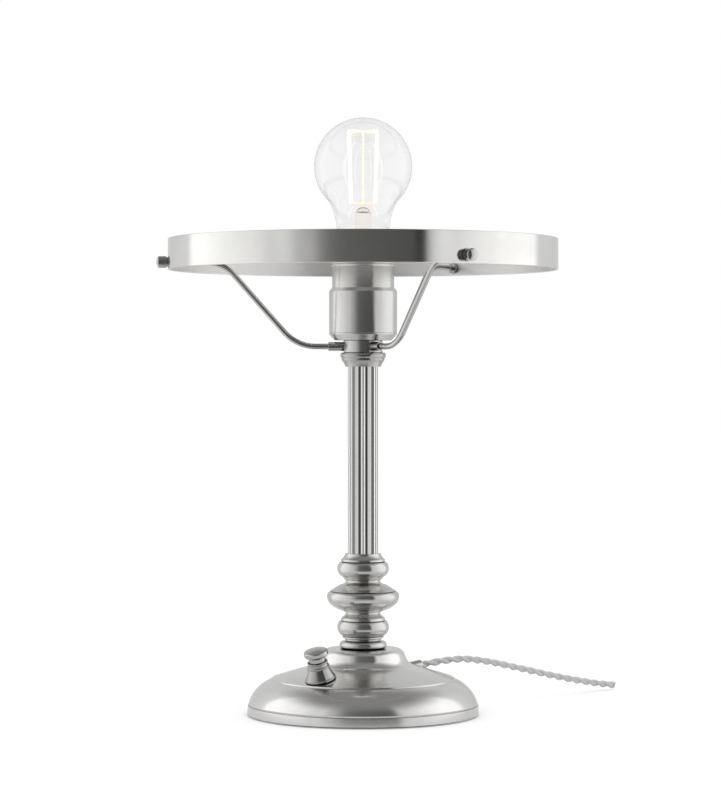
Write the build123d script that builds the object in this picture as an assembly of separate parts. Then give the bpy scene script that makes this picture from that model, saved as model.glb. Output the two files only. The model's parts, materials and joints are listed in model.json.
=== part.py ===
from build123d import *
from math import asin, atan2, cos, degrees, hypot, pi, radians, sin, tan
import os

# Table lamp: a weighted domed base with a push switch, a turned stem with a fluted column,
# three bent arms that carry a shade ring, a screw lamp holder with its bulb, and a twisted flex.
# Millimetres. The origin is the middle of the base's underside, +Z is up, the front is -Y.

# Fits
rod_clearance = 0.2
slip_gap = 0.1
running_gap = 0.08
moving_gap = 0.3

# Base shell
base_radius = 70.8
shell_wall = 1.2
rim_bottom = 0.8
rim_height = 5.2
rim_taper = 0.5
rim_groove = 1.1
dome_setback = 21.8
dome_centre_z = 0.6
dome_radius = 22.0
dome_low_angle = 17.5
dome_high_angle = 71.8
step_rise = 0.8
step_width = 0.9
cone_slope = 17.1
boss_foot_radius = 27.8
boss_top_radius = 24.1
boss_rise = 9.34
boss_fillet = 8.5
boss_shoulder = 4.5

# Base filling
felt_thickness = 1.6
felt_margin = 3.3
plate_thickness = 1.0
plate_margin = 1.9
weight_margin = 8.8
weight_disc_height = 6.4
weight_hub_radius = 20.0
weight_recess_radius = 14.0
weight_recess_height = 9.4
lead_slot_width = 7.0
base_screw_radius = 1.5
base_screw_head_radius = 2.8
base_screw_length = 5.4
base_screw_inset = 12.0
base_screw_count = 3

# Tie rod and its nut
rod_radius = 4.9
rod_bore_radius = 3.4
rod_washer_radius = 9.5
rod_washer_thickness = 1.5
rod_nut_width = 14.0
rod_nut_height = 3.0
rod_tail = 0.5
terminal_block_radius = 10.0
terminal_block_height = 3.6

# Turned stem, from the base up
knop_groove = 0.6
foot_ring_radius = 14.5
foot_ring_bead = 4.6
lower_neck_radius = 11.0
lower_neck_height = 1.7
lower_lip_radius = 12.6
lower_lip_height = 1.4
lower_belly_radius = 15.8
lower_belly_foot = 3.0
lower_belly_shoulder = 1.2
lower_belly_height = 9.0
lower_collar_radius = 13.7
lower_collar_height = 1.7
lower_cove_height = 2.4
middle_neck_radius = 10.6
middle_neck_height = 1.2
middle_foot_flare = 1.7
middle_foot_height = 0.4
middle_belly_radius = 22.1
middle_swell_radius = 19.8
middle_swell_height = 3.9
middle_belly_rise = 8.7
middle_belly_height = 3.0
middle_belly_shoulder = 1.3
middle_top_radius = 13.9
middle_top_height = 3.8
middle_cove_height = 1.1
upper_neck_radius = 10.5
upper_neck_height = 1.3
upper_lip_radius = 11.9
upper_lip_height = 1.6
upper_belly_radius = 15.8
upper_belly_foot = 3.5
upper_belly_shoulder = 1.4
upper_belly_height = 9.0
upper_collar_radius = 13.5
upper_collar_height = 1.2
upper_top_radius = 10.9
upper_top_height = 3.7
column_radius = 9.7
column_bore_radius = 6.6
column_length = 114.1
flute_count = 16
flute_radius = 1.9
flute_offset = 1.0
capital_foot_radius = 10.8
capital_bell_radius = 12.9
capital_bell_height = 3.8
capital_fillet_radius = 13.1
capital_fillet_height = 1.4
capital_flange_radius = 14.0
capital_flange_height = 3.4
capital_edge = 0.8

# Arms and shade ring
hub_radius = 12.0
hub_height = 7.5
arm_names = ["left", "front", "back"]
arm_first_angle = 180.0
arm_radius = 1.75
arm_inner_end = 7.8
arm_low_corner = 40.5
arm_high_corner = 86.0
arm_rise = 51.7
arm_low_bend = 26.0
arm_high_bend = 23.4
socket_radius = 2.75
socket_inner_end = 7.4
socket_reach = 9.3
ring_radius = 119.2
ring_wall = 1.6
ring_height = 19.0
ring_edge = 0.5
arm_hole_height = 4.9
lock_nut_width = 5.8
lock_nut_thickness = 2.8
thumb_nut_radius = 3.6
thumb_nut_length = 7.1
thumb_nut_thread = 5.0
thumb_nut_neck = 1.2
thumb_nut_edge = 0.6
thumb_nut_dome = 0.8

# Lamp holder
holder_wall = 0.8
holder_foot_radius = 17.5
holder_radius = 20.8
holder_chamfer_height = 4.4
holder_skirt_height = 25.4
holder_shoulder_height = 2.3
holder_sleeve_radius = 19.0
holder_sleeve_height = 15.5
holder_rim_radius = 19.6
holder_rim_height = 2.4
holder_spigot_height = 6.7
holder_floor = 1.2
holder_nut_width = 14.0
holder_nut_height = 2.6
rod_above_nut = 1.3
insulator_radius = 19.6
insulator_neck_radius = 17.9
insulator_floor = 16.0
insulator_cup_height = 19.0
screw_shell_radius = 13.5
screw_shell_wall = 0.5
screw_shell_flange = 0.6
screw_shell_mouth = 8.0
contact_width = 5.0
contact_thickness = 0.5
contact_reach = 6.0
contact_rise = 2.4
terminal_size = 5.0
terminal_height = 4.0
terminal_offset = 10.0

# Bulb
bulb_tip_radius = 4.5
bulb_tip_height = 1.6
bulb_button_height = 4.4
bulb_button_radius = 11.0
bulb_thread_radius = 13.1
bulb_thread_depth = 0.9
bulb_thread_pitch = 3.63
bulb_thread_turns = 5
bulb_cap_wall = 0.5
bulb_cap_skirt = 4.6
bulb_radius = 30.0
bulb_height = 106.0
bulb_glass_wall = 0.8
bulb_throat_radius = 12.2
bulb_neck_radius = 16.5
bulb_neck_height = 39.6
bulb_blend_angle = 45.0
stem_tube_radius = 4.75
stem_top_height = 51.0
stem_flare_height = 1.0
stem_flare_width = 1.5
stem_foot_height = 4.5
stem_pinch_height = 4.0
stem_pinch_radius = 2.2
filament_count = 4
filament_radius = 0.9
filament_foot_spread = 10.5
filament_top_spread = 12.2
filament_first_angle = 45.0
filament_foot_rise = 3.0
filament_crown_gap = 9.0
support_radius = 0.6

# Switch on the base
switch_azimuth = 236.0
switch_rim_margin = 0.7
switch_rim_radius = 9.2
switch_rim_height = 1.8
switch_waist_radius = 6.3
switch_waist_height = 8.6
switch_flare = 0.9
switch_flare_drop = 3.4
switch_mouth_radius = 5.9
switch_height = 11.6
switch_bead = 1.1
switch_bore_floor = 1.6
button_neck_radius = 5.0
button_cap_radius = 7.2
button_cap_height = 4.3
button_gap = 3.4
button_travel = 3.0
button_neck_depth = 3.4
button_stem_radius = 2.0
button_stem_length = 9.0
switch_bush_radius = 4.0
switch_body_radius = 7.0
switch_lead_drop = 4.4
switch_nut_radius = 6.6
switch_nut_thickness = 1.4
switch_spring_radius = 3.2
switch_spring_wire = 0.5
switch_spring_turns = 4
switch_terminal_radius = 1.0
switch_terminal_length = 2.0

# Flex and its bushing
cord_diameter = 4.5
cord_route = [
    (31.0, 16.3, 27.2),
    (55.0, 30.0, 31.2),
    (76.0, 50.0, 27.5),
    (100.0, 74.0, 19.9),
    (128.3, 98.0, 11.3),
    (144.4, 112.0, 7.1),
    (155.0, 122.0, 4.5),
    (165.7, 131.0, 2.6),
]
arc_share = 0.45
bushing_wall = 1.1
bushing_outer_length = 5.7
cord_hole_length = 13.5
bushing_inner_length = 2.0
bushing_edge = 0.5
lead_radius = 0.9
lead_spacing = 2.4
lead_bend = 4.0
lead_level = 3.0
cord_lead_drop = 27.0
clamp_width = 9.0
clamp_height = 5.0
clamp_margin = 2.0
clamp_level = 16.0


def outline(points):
    """A closed outline from points: a pair of points is an arc through the first to the second."""
    edges = []
    here = points[0]
    for step in points[1:]:
        if isinstance(step[0], tuple):
            edges.append(ThreePointArc(here, *step))
            here = step[1]
        else:
            edges.append(Line(here, step))
            here = step
    edges.append(Line(here, points[0]))
    return make_face(edges)


def cap_arc(radius, z, top):
    """An arc from an edge to the axis, on a ball centred on the axis, as a step of an outline."""
    rise = top - z
    ball = (radius ** 2 + rise ** 2) / (2 * rise)
    half = asin(radius / ball) / 2
    return (ball * sin(half), top - ball * (1 - cos(half))), (0, top)


def turned(points, z=0):
    """A solid of revolution about Z from an outline in radius and height, lifted to z."""
    return Pos(0, 0, z) * revolve(Plane.XZ * outline(points), Axis.Z)


def tube(outer, inner, height, z=0):
    """A plain round tube standing at z."""
    return turned([(inner, 0), (outer, 0), (outer, height), (inner, height)], z)


def rod(radius, start, end):
    """A round bar between two points."""
    line = Line(start, end)
    return sweep((line ^ 0) * Circle(radius), path=line)


def hex_nut(width, bore, height, z=0):
    """A hexagon nut standing at z, with its width across flats."""
    profile = RegularPolygon(width / 2, 6, major_radius=False) - Circle(bore)
    return Pos(0, 0, z) * extrude(profile, height)


def polar(radius, azimuth, z):
    """A point given by its distance from the lamp's axis, its direction and its height."""
    return (radius * cos(radians(azimuth)), radius * sin(radians(azimuth)), z)


def radial_frame(azimuth, radius, z):
    """A frame at a point round the axis whose own Z points straight outwards."""
    origin = polar(radius, azimuth, z)
    return Plane(origin, x_dir=(0, 0, 1), z_dir=polar(1, azimuth, 0))


# Base surface and the heights that follow from it

def dome_point(inset, angle):
    reach = dome_radius - inset
    centre_r = base_radius - dome_setback
    return (centre_r + reach * cos(radians(angle)), dome_centre_z + reach * sin(radians(angle)))


def cone_foot(inset):
    step_r, step_z = dome_point(inset, dome_high_angle)
    return (step_r - step_width, step_z + step_rise + step_width * tan(radians(cone_slope)))


def cone_height(radius):
    foot_r, foot_z = cone_foot(0)
    return foot_z + (foot_r - radius) * tan(radians(cone_slope))


rod_hole = rod_radius + rod_clearance
weight_radius = base_radius - weight_margin
plate_bottom = felt_thickness
weight_bottom = plate_bottom + plate_thickness
recess_top = weight_bottom + weight_recess_height
rod_bottom = recess_top - rod_washer_thickness - rod_nut_height - rod_tail
boss_top = cone_height(boss_foot_radius) + boss_rise
foot_ring_z = boss_top
lower_knop_z = foot_ring_z + foot_ring_bead + lower_neck_height
middle_knop_z = (
    lower_knop_z + lower_lip_height + lower_belly_height + knop_groove
    + lower_collar_height + lower_cove_height + middle_neck_height
)
upper_knop_z = (
    middle_knop_z + middle_foot_height + middle_belly_rise + middle_belly_height
    + knop_groove + middle_top_height + middle_cove_height + knop_groove + upper_neck_height
)
column_z = (
    upper_knop_z + upper_lip_height + upper_belly_height + knop_groove
    + upper_collar_height + upper_top_height
)
capital_z = column_z + column_length
hub_z = capital_z + capital_bell_height + capital_fillet_height + capital_flange_height
arm_level = hub_z + hub_height / 2
arm_top = arm_level + arm_rise
ring_z = arm_top - arm_hole_height
holder_z = hub_z + hub_height
skirt_z = holder_z + holder_chamfer_height
shoulder_z = skirt_z + holder_skirt_height
sleeve_z = shoulder_z + holder_shoulder_height
holder_top = sleeve_z + holder_sleeve_height
rod_top = holder_z + holder_floor + holder_nut_height + rod_above_nut
insulator_z = skirt_z + holder_spigot_height
socket_floor = insulator_z + insulator_floor
bulb_z = socket_floor + contact_rise + contact_thickness + moving_gap
lead_z = weight_bottom + lead_level


# Base

def base_form(inset, floor):
    """The base as a solid whose surface lies inset inside the outer skin, down to a floor."""
    side = base_radius - inset
    rim_top = rim_bottom + rim_height
    top = boss_top - inset
    boss_foot = boss_foot_radius - inset
    low = dome_point(inset, dome_low_angle)
    middle = dome_point(inset, (dome_low_angle + dome_high_angle) / 2)
    high = dome_point(inset, dome_high_angle)
    foot = cone_foot(inset)
    step = (high[0], high[1] + step_rise)
    corner = (boss_foot, foot[1] + (foot[0] - boss_foot) * tan(radians(cone_slope)))
    shoulder = (boss_top_radius - inset, top)
    edges = [
        Polyline(
            (0, floor), (side, floor), (side - rim_taper, rim_top), (side - rim_groove, rim_top), low,
        ),
        ThreePointArc(low, middle, high),
        Polyline(high, step, foot),
        FilletPolyline(
            foot, corner, shoulder, (0, top), radius=[boss_fillet + inset, boss_shoulder - inset],
        ),
        Line((0, top), (0, floor)),
    ]
    return revolve(Plane.XZ * make_face(edges), Axis.Z)


cord_axis = (Vector(*cord_route[1]) - Vector(*cord_route[0])).normalized()
cord_hole_radius = cord_diameter / 2 + slip_gap
bushing_radius = cord_hole_radius + bushing_wall
switch_seat_radius = cone_foot(0)[0] - switch_rim_radius * cos(radians(cone_slope)) - switch_rim_margin
switch_seat = polar(switch_seat_radius, switch_azimuth, cone_height(switch_seat_radius))
switch_normal = polar(sin(radians(cone_slope)), switch_azimuth, cos(radians(cone_slope)))
switch_frame = Plane(switch_seat, x_dir=polar(1, switch_azimuth + 90, 0), z_dir=switch_normal)


def make_base_shell():
    shell = base_form(0, rim_bottom) - base_form(shell_wall, rim_bottom - shell_wall)
    shell -= Cylinder(rod_hole, 2 * boss_top)
    shell -= switch_frame * Cylinder(switch_bush_radius + slip_gap, 4 * shell_wall)
    start = Vector(*cord_route[0])
    inner = start - cord_axis * bushing_inner_length
    shell -= rod(bushing_radius + slip_gap, inner, start + cord_axis * cord_hole_length)
    return shell


def lead_slot(azimuth, reach):
    """A straight channel through the weight's disc, from the middle outwards."""
    slot = Pos(reach / 2, 0, weight_bottom) * Box(reach, lead_slot_width, 2 * (weight_disc_height + slip_gap))
    return Rot(0, 0, azimuth) * slot


def base_screw_places():
    turn = 360 / base_screw_count
    circle = weight_radius - base_screw_inset
    return [polar(circle, switch_azimuth + turn * (i + 0.5), 0) for i in range(base_screw_count)]


cord_azimuth = degrees(atan2(cord_route[0][1], cord_route[0][0]))
switch_reach = (cone_height(switch_seat_radius) - lead_z) / cos(radians(cone_slope)) - switch_lead_drop
switch_body_foot = switch_reach - switch_terminal_length
switch_tail_radius = switch_seat_radius - switch_reach * sin(radians(cone_slope))


def make_base_weight():
    disc_top = weight_bottom + weight_disc_height
    hub_top = boss_top - shell_wall
    weight = turned([
        (rod_hole, recess_top), (weight_recess_radius, recess_top), (weight_recess_radius, weight_bottom),
        (weight_radius, weight_bottom), (weight_radius, disc_top), (weight_hub_radius, disc_top),
        (weight_hub_radius, hub_top), (rod_hole, hub_top),
    ])
    weight -= lead_slot(cord_azimuth, cord_lead_drop + lead_slot_width / 2)
    weight -= lead_slot(switch_azimuth, switch_tail_radius + lead_slot_width / 2)
    for x, y, _ in base_screw_places():
        depth = base_screw_length + slip_gap
        weight -= Pos(x, y, weight_bottom + depth / 2) * Cylinder(base_screw_radius + slip_gap, depth)
    return weight


def make_base_plate():
    plate = tube(base_radius - plate_margin, 0, plate_thickness, plate_bottom)
    for x, y, _ in base_screw_places():
        hole = turned([
            (0, 0), (base_screw_head_radius + slip_gap, 0),
            (base_screw_radius + slip_gap, plate_thickness), (0, plate_thickness),
        ], plate_bottom)
        plate -= Pos(x, y, 0) * hole
    return plate


def make_base_screws():
    screw = turned([
        (0, 0), (base_screw_head_radius, 0), (base_screw_radius, plate_thickness),
        (base_screw_radius, plate_thickness + base_screw_length), (0, plate_thickness + base_screw_length),
    ], plate_bottom)
    return [Pos(x, y, 0) * screw for x, y, _ in base_screw_places()]


def make_felt_pad():
    return tube(base_radius - felt_margin, 0, felt_thickness)


# Tie rod, its washer and nut, and the terminal block under it

def make_tie_rod():
    return tube(rod_radius, rod_bore_radius, rod_top - rod_bottom, rod_bottom)


def make_rod_washer():
    return tube(rod_washer_radius, rod_hole, rod_washer_thickness, recess_top - rod_washer_thickness)


def make_rod_nut():
    return hex_nut(rod_nut_width, rod_radius + slip_gap, rod_nut_height, rod_bottom + rod_tail)


def make_terminal_block():
    height = min(terminal_block_height, rod_bottom - weight_bottom)
    block = tube(terminal_block_radius, 0, height, weight_bottom)
    for offset in (-lead_spacing, lead_spacing):
        x, y, _ = polar(offset, terminal_azimuth, 0)
        block -= Pos(x, y, weight_bottom + height) * Cylinder(lead_radius + slip_gap, height)
    return block


# Turned stem

def make_foot_ring():
    edge = foot_ring_radius - foot_ring_bead / 2
    neck = lower_neck_radius
    top = foot_ring_bead + lower_neck_height
    return turned([
        (rod_hole, 0), (edge, 0), ((foot_ring_radius, foot_ring_bead / 2), (edge, foot_ring_bead)),
        (neck + knop_groove, foot_ring_bead), (neck, foot_ring_bead + knop_groove), (neck, top),
        (rod_hole, top),
    ], foot_ring_z)


def make_lower_knop():
    lip = lower_lip_radius
    belly = lower_belly_radius
    shoulder = belly - lower_belly_shoulder
    edge = lower_collar_radius
    neck = middle_neck_radius
    belly_top = lower_lip_height + lower_belly_height
    collar = belly_top + knop_groove
    cove = collar + lower_collar_height
    neck_z = cove + lower_cove_height
    top = neck_z + middle_neck_height
    return turned([
        (rod_hole, 0), (lip - knop_groove, 0),
        ((lip, lower_lip_height / 2), (lip - knop_groove, lower_lip_height)),
        (belly - lower_belly_foot, lower_lip_height),
        ((belly, lower_lip_height + lower_belly_height * 0.55), (shoulder, belly_top)),
        (edge - knop_groove / 2, belly_top + knop_groove / 2), (edge, collar),
        ((edge - knop_groove / 4, collar + lower_collar_height / 2), (edge - knop_groove, cove)),
        ((neck + 1.5 * knop_groove, cove + lower_cove_height / 2), (neck, neck_z)),
        (neck, top), (rod_hole, top),
    ], lower_knop_z)


def make_middle_knop():
    belly = middle_belly_radius
    neck = upper_neck_radius
    flare = middle_neck_radius + middle_foot_flare
    shoulder = belly - middle_belly_shoulder
    ledge = shoulder - knop_groove
    widest = middle_foot_height + middle_belly_rise
    belly_top = widest + middle_belly_height
    slope = belly_top + knop_groove
    cove = slope + middle_top_height
    neck_z = cove + middle_cove_height
    top = neck_z + knop_groove + upper_neck_height
    swell = middle_swell_radius
    swell_z = middle_foot_height + middle_swell_height
    return turned([
        (rod_hole, 0), (flare - knop_groove, 0), (flare, middle_foot_height),
        (((flare + swell + knop_groove) / 2, swell_z - middle_swell_height * 0.6), (swell, swell_z)),
        ((belly - knop_groove, (swell_z + widest) / 2), (belly, widest)),
        ((belly - middle_belly_shoulder / 5, widest + middle_belly_height * 0.55), (shoulder, belly_top)),
        (ledge - knop_groove, belly_top + knop_groove / 2), (ledge, slope), (middle_top_radius, cove),
        (((middle_top_radius + neck) / 2, cove + middle_cove_height * 0.35), (neck + knop_groove, neck_z)),
        (neck, neck_z + knop_groove), (neck, top), (rod_hole, top),
    ], middle_knop_z)


def make_upper_knop():
    lip = upper_lip_radius
    belly = upper_belly_radius
    collar = upper_collar_radius
    belly_top = upper_lip_height + upper_belly_height
    collar_z = belly_top + knop_groove
    slope = collar_z + upper_collar_height
    top = slope + upper_top_height
    middle = upper_top_radius + (collar - upper_top_radius) * 0.35
    return turned([
        (rod_hole, 0), (lip - knop_groove, 0), (lip, knop_groove), (belly - upper_belly_foot, upper_lip_height),
        ((belly, upper_lip_height + upper_belly_height * 0.6), (belly - upper_belly_shoulder, belly_top)),
        (collar - knop_groove, belly_top + knop_groove / 2), (collar, collar_z), (collar, slope),
        ((middle, slope + upper_top_height * 0.45), (upper_top_radius, top)), (rod_hole, top),
    ], upper_knop_z)


def make_column():
    profile = Circle(column_radius) - Circle(column_bore_radius)
    turn = 360 / flute_count
    for i in range(flute_count):
        x, y, _ = polar(column_radius + flute_offset, -90 + turn * (i + 0.5), 0)
        profile -= Pos(x, y) * Circle(flute_radius)
    return Pos(0, 0, column_z) * extrude(profile, column_length)


def make_capital():
    foot = capital_foot_radius
    edge = capital_flange_radius
    fillet = capital_bell_height + capital_fillet_height
    top = fillet + capital_flange_height
    middle = (foot + capital_bell_radius) / 2
    return turned([
        (rod_hole, 0), (foot, 0),
        ((middle, capital_bell_height * 0.58), (capital_bell_radius, capital_bell_height)),
        (capital_fillet_radius, capital_bell_height), (capital_fillet_radius, fillet - capital_edge),
        (edge - capital_edge, fillet),
        ((edge, fillet + capital_flange_height / 2), (edge - capital_edge / 2, top - capital_edge / 2)),
        (edge - capital_edge, top), (rod_hole, top),
    ], capital_z)


# Arms and shade ring

arm_azimuths = [arm_first_angle + 360 / len(arm_names) * i for i in range(len(arm_names))]


def make_arm_hub():
    hub = tube(hub_radius, rod_hole, hub_height, hub_z)
    for azimuth in arm_azimuths:
        hub -= rod(socket_radius + slip_gap, (0, 0, arm_level), polar(2 * hub_radius, azimuth, arm_level))
    return hub


def make_arm_sockets():
    length = hub_radius + socket_reach - socket_inner_end
    socket = tube(socket_radius, arm_radius + slip_gap, length)
    return [radial_frame(azimuth, socket_inner_end, arm_level) * socket for azimuth in arm_azimuths]


def make_arm(azimuth):
    outer_end = ring_radius + thumb_nut_thread
    path = FilletPolyline(
        (arm_inner_end, 0, arm_level), (arm_low_corner, 0, arm_level), (arm_high_corner, 0, arm_top),
        (outer_end, 0, arm_top), radius=[arm_low_bend, arm_high_bend],
    )
    return Rot(0, 0, azimuth) * sweep((path ^ 0) * Circle(arm_radius), path=path)


def make_shade_ring():
    ring = turned([
        (ring_radius - ring_wall, ring_edge), (ring_radius - ring_wall + ring_edge, 0),
        (ring_radius - ring_edge, 0), (ring_radius, ring_edge),
        (ring_radius, ring_height - ring_edge), (ring_radius - ring_edge, ring_height),
        (ring_radius - ring_wall + ring_edge, ring_height), (ring_radius - ring_wall, ring_height - ring_edge),
    ], ring_z)
    for azimuth in arm_azimuths:
        start = polar(ring_radius - 2 * ring_wall, azimuth, arm_top)
        ring -= rod(arm_radius + slip_gap, start, polar(ring_radius + ring_wall, azimuth, arm_top))
    return ring


def make_lock_nuts():
    nut = hex_nut(lock_nut_width, arm_radius + slip_gap / 2, lock_nut_thickness)
    seat = ring_radius - ring_wall - slip_gap - lock_nut_thickness
    return [radial_frame(azimuth, seat, arm_top) * nut for azimuth in arm_azimuths]


def make_thumb_nut(azimuth):
    bore = arm_radius + running_gap
    depth = thumb_nut_thread + moving_gap
    neck = thumb_nut_radius - knop_groove
    crown = thumb_nut_radius - thumb_nut_edge
    crown_z = thumb_nut_length - thumb_nut_dome
    nut = turned([
        (bore, 0), (neck, 0), (neck, thumb_nut_neck - 0.3), (thumb_nut_radius, thumb_nut_neck),
        (thumb_nut_radius, crown_z - thumb_nut_edge), (crown, crown_z),
        cap_arc(crown, crown_z, thumb_nut_length), (0, depth), (bore, depth),
    ])
    return radial_frame(azimuth, ring_radius + 2 * slip_gap, arm_top) * nut


# Lamp holder

def make_holder_cap():
    inside = holder_radius - holder_wall - slip_gap
    spigot_top = holder_chamfer_height + holder_spigot_height
    return turned([
        (rod_hole, 0), (holder_foot_radius, 0), (holder_radius, holder_chamfer_height - 0.8),
        (holder_radius, holder_chamfer_height), (inside, holder_chamfer_height), (inside, spigot_top),
        (inside - holder_wall, spigot_top), (inside - holder_wall, holder_chamfer_height),
        (holder_foot_radius - holder_wall, holder_floor), (rod_hole, holder_floor),
    ], holder_z)


def make_holder_shell():
    wall = holder_wall
    skirt = holder_radius
    sleeve = holder_sleeve_radius
    shoulder = holder_skirt_height
    neck = shoulder + holder_shoulder_height
    top = neck + holder_sleeve_height
    rim = top - holder_rim_height
    return turned([
        (skirt - wall, 0), (skirt, 0), (skirt, shoulder), (skirt - 0.5, shoulder + 0.6), (sleeve, neck),
        (sleeve, rim), (holder_rim_radius, rim + 0.6), (holder_rim_radius, top - 0.6),
        (sleeve, top), (sleeve - wall, top), (sleeve - wall, neck - 0.4), (skirt - wall, shoulder - 0.4),
    ], skirt_z)


def make_holder_nut():
    return hex_nut(holder_nut_width, rod_radius + slip_gap, holder_nut_height, holder_z + holder_floor)


def make_holder_insulator():
    cup = screw_shell_radius + screw_shell_wall + slip_gap
    shoulder = shoulder_z - insulator_z - holder_wall
    neck = shoulder + holder_shoulder_height - 0.6
    top = insulator_floor + insulator_cup_height
    return turned([
        (0, 0), (insulator_radius, 0), (insulator_radius, shoulder - 1.4), (insulator_neck_radius, neck),
        (insulator_neck_radius, top), (cup, top), (cup, insulator_floor), (0, insulator_floor),
    ], insulator_z)


def make_screw_shell():
    outer = screw_shell_radius + screw_shell_wall
    top = insulator_cup_height - 1.0
    return turned([
        (screw_shell_mouth, 0), (outer, 0), (outer, top), (screw_shell_radius, top),
        (screw_shell_radius, screw_shell_flange), (screw_shell_mouth, screw_shell_flange),
    ], socket_floor)


def make_centre_contact():
    thick = contact_thickness
    ramp = contact_reach / 3
    leaf = [
        (-contact_reach, 0), (-ramp, 0), (ramp, contact_rise), (contact_reach, contact_rise),
        (contact_reach, contact_rise + thick), (ramp - thick / 2, contact_rise + thick),
        (-ramp - thick / 2, thick), (-contact_reach, thick),
    ]
    strip = extrude(Plane.XZ * outline(leaf), contact_width / 2, both=True)
    return Pos(0, 0, socket_floor) * strip


terminal_azimuth = switch_azimuth + 90


def make_holder_terminals():
    foot = insulator_z - terminal_height
    block = Pos(terminal_offset, 0, foot + terminal_height / 2) * Box(terminal_size, terminal_size, terminal_height)
    block -= Pos(terminal_offset, 0, foot) * Cylinder(terminal_size / 4, terminal_height)
    return [Rot(0, 0, terminal_azimuth + turn) * block for turn in (0, 180)]


# Bulb, in heights above the foot of its tip

def make_bulb_tip():
    rise = bulb_tip_height
    edge = bulb_tip_radius
    return turned([(edge, rise), cap_arc(edge, rise, 0), (0, rise)], bulb_z)


def make_bulb_button():
    return turned([
        (0, bulb_tip_height), (bulb_tip_radius + 0.8, bulb_tip_height),
        (bulb_button_radius, bulb_button_height - 0.6),
        (bulb_button_radius, bulb_button_height + 1.0), (0, bulb_button_height + 1.0),
    ], bulb_z)


thread_foot = bulb_button_height - 0.6
thread_top = thread_foot + bulb_thread_pitch * bulb_thread_turns
cap_top = thread_top + bulb_cap_skirt


def make_bulb_cap():
    low = bulb_thread_radius - bulb_thread_depth
    inside = low - bulb_cap_wall
    points = [(bulb_button_radius + slip_gap, thread_foot), (low, thread_foot)]
    for i in range(bulb_thread_turns):
        z = thread_foot + bulb_thread_pitch * i
        points.append(((bulb_thread_radius, z + bulb_thread_pitch / 2), (low, z + bulb_thread_pitch)))
    skirt = bulb_throat_radius + slip_gap + bulb_cap_wall
    points += [
        (skirt, thread_top + 0.8), (skirt, cap_top), (bulb_throat_radius + slip_gap, cap_top),
        (bulb_throat_radius + slip_gap, thread_top + 0.8), (inside, thread_top),
        (inside, thread_foot + 1.6 + slip_gap), (bulb_button_radius + slip_gap, thread_foot + 1.6),
    ]
    return turned(points, bulb_z)


def bulb_skin(inset):
    """Half outline of the glass from its open throat to its crown."""
    ball_z = bulb_height - bulb_radius
    reach = bulb_radius - inset
    blend = radians(bulb_blend_angle)
    blend_point = (reach * cos(blend), ball_z - reach * sin(blend))
    side = (reach, ball_z)
    side_middle = (reach * cos(blend / 2), ball_z - reach * sin(blend / 2))
    neck = (bulb_neck_radius - inset, bulb_neck_height)
    throat = (bulb_throat_radius - inset, thread_top + 1.0)
    crown_middle = (reach * sin(radians(45)), ball_z + reach * cos(radians(45)))
    flare = (throat[0], cap_top)
    swell = ((neck[0] + blend_point[0]) / 2 - 0.9, (neck[1] + blend_point[1]) / 2 + 0.9)
    low_swell = ((flare[0] + neck[0]) / 2 + 0.4, (flare[1] + neck[1]) / 2 - 0.4)
    return [
        Line(throat, flare), ThreePointArc(flare, low_swell, neck), ThreePointArc(neck, swell, blend_point),
        ThreePointArc(blend_point, side_middle, side), ThreePointArc(side, crown_middle, (0, ball_z + reach)),
    ]


def make_bulb_glass():
    outer = bulb_skin(0)
    inner = bulb_skin(bulb_glass_wall)
    foot = Line(outer[0] @ 0, inner[0] @ 0)
    crown = Line(outer[-1] @ 1, inner[-1] @ 1)
    glass = revolve(Plane.XZ * make_face(outer + inner + [foot, crown]), Axis.Z)
    return Pos(0, 0, bulb_z) * glass


def make_bulb_stem():
    flare = bulb_throat_radius - bulb_glass_wall - slip_gap
    foot = thread_top + stem_flare_height
    tube_foot = foot + stem_foot_height
    pinch = stem_top_height - stem_pinch_height
    pinch_bulge = stem_tube_radius - stem_pinch_radius / 3
    return turned([
        (0, foot), (flare, foot), (flare, foot + stem_flare_height),
        ((stem_tube_radius + stem_flare_width, foot + 2 * stem_flare_height), (stem_tube_radius, tube_foot)),
        (stem_tube_radius, pinch),
        ((pinch_bulge, pinch + stem_pinch_height / 2), (stem_pinch_radius, stem_top_height)),
        (0, stem_top_height),
    ], bulb_z)


def filament_ends(i):
    azimuth = filament_first_angle + 360 / filament_count * i
    foot = polar(filament_foot_spread, azimuth, bulb_z + stem_top_height + filament_foot_rise)
    top = polar(filament_top_spread, azimuth, bulb_z + bulb_height - filament_crown_gap)
    return foot, top


def make_bulb_filaments():
    return [rod(filament_radius, *filament_ends(i)) for i in range(filament_count)]


def make_bulb_supports():
    """The wires that hold the filaments: a spoked foot on the stem, a middle post and a spoked crown."""
    top_z = bulb_z + bulb_height - filament_crown_gap
    stem_top = bulb_z + stem_top_height
    post = rod(support_radius, (0, 0, stem_top), (0, 0, top_z + filament_radius))
    wires = post
    for i in range(filament_count):
        foot, top = filament_ends(i)
        lean = (Vector(*top) - Vector(*foot)).normalized()
        low = Vector(*foot) - lean * slip_gap
        high = Vector(*top) + lean * slip_gap
        wires += rod(support_radius, (0, 0, low.Z - support_radius), low - Vector(0, 0, support_radius))
        wires += rod(support_radius, (0, 0, high.Z + support_radius), high + Vector(0, 0, support_radius))
    return wires


# Switch, in its own frame with Z along the push

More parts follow.
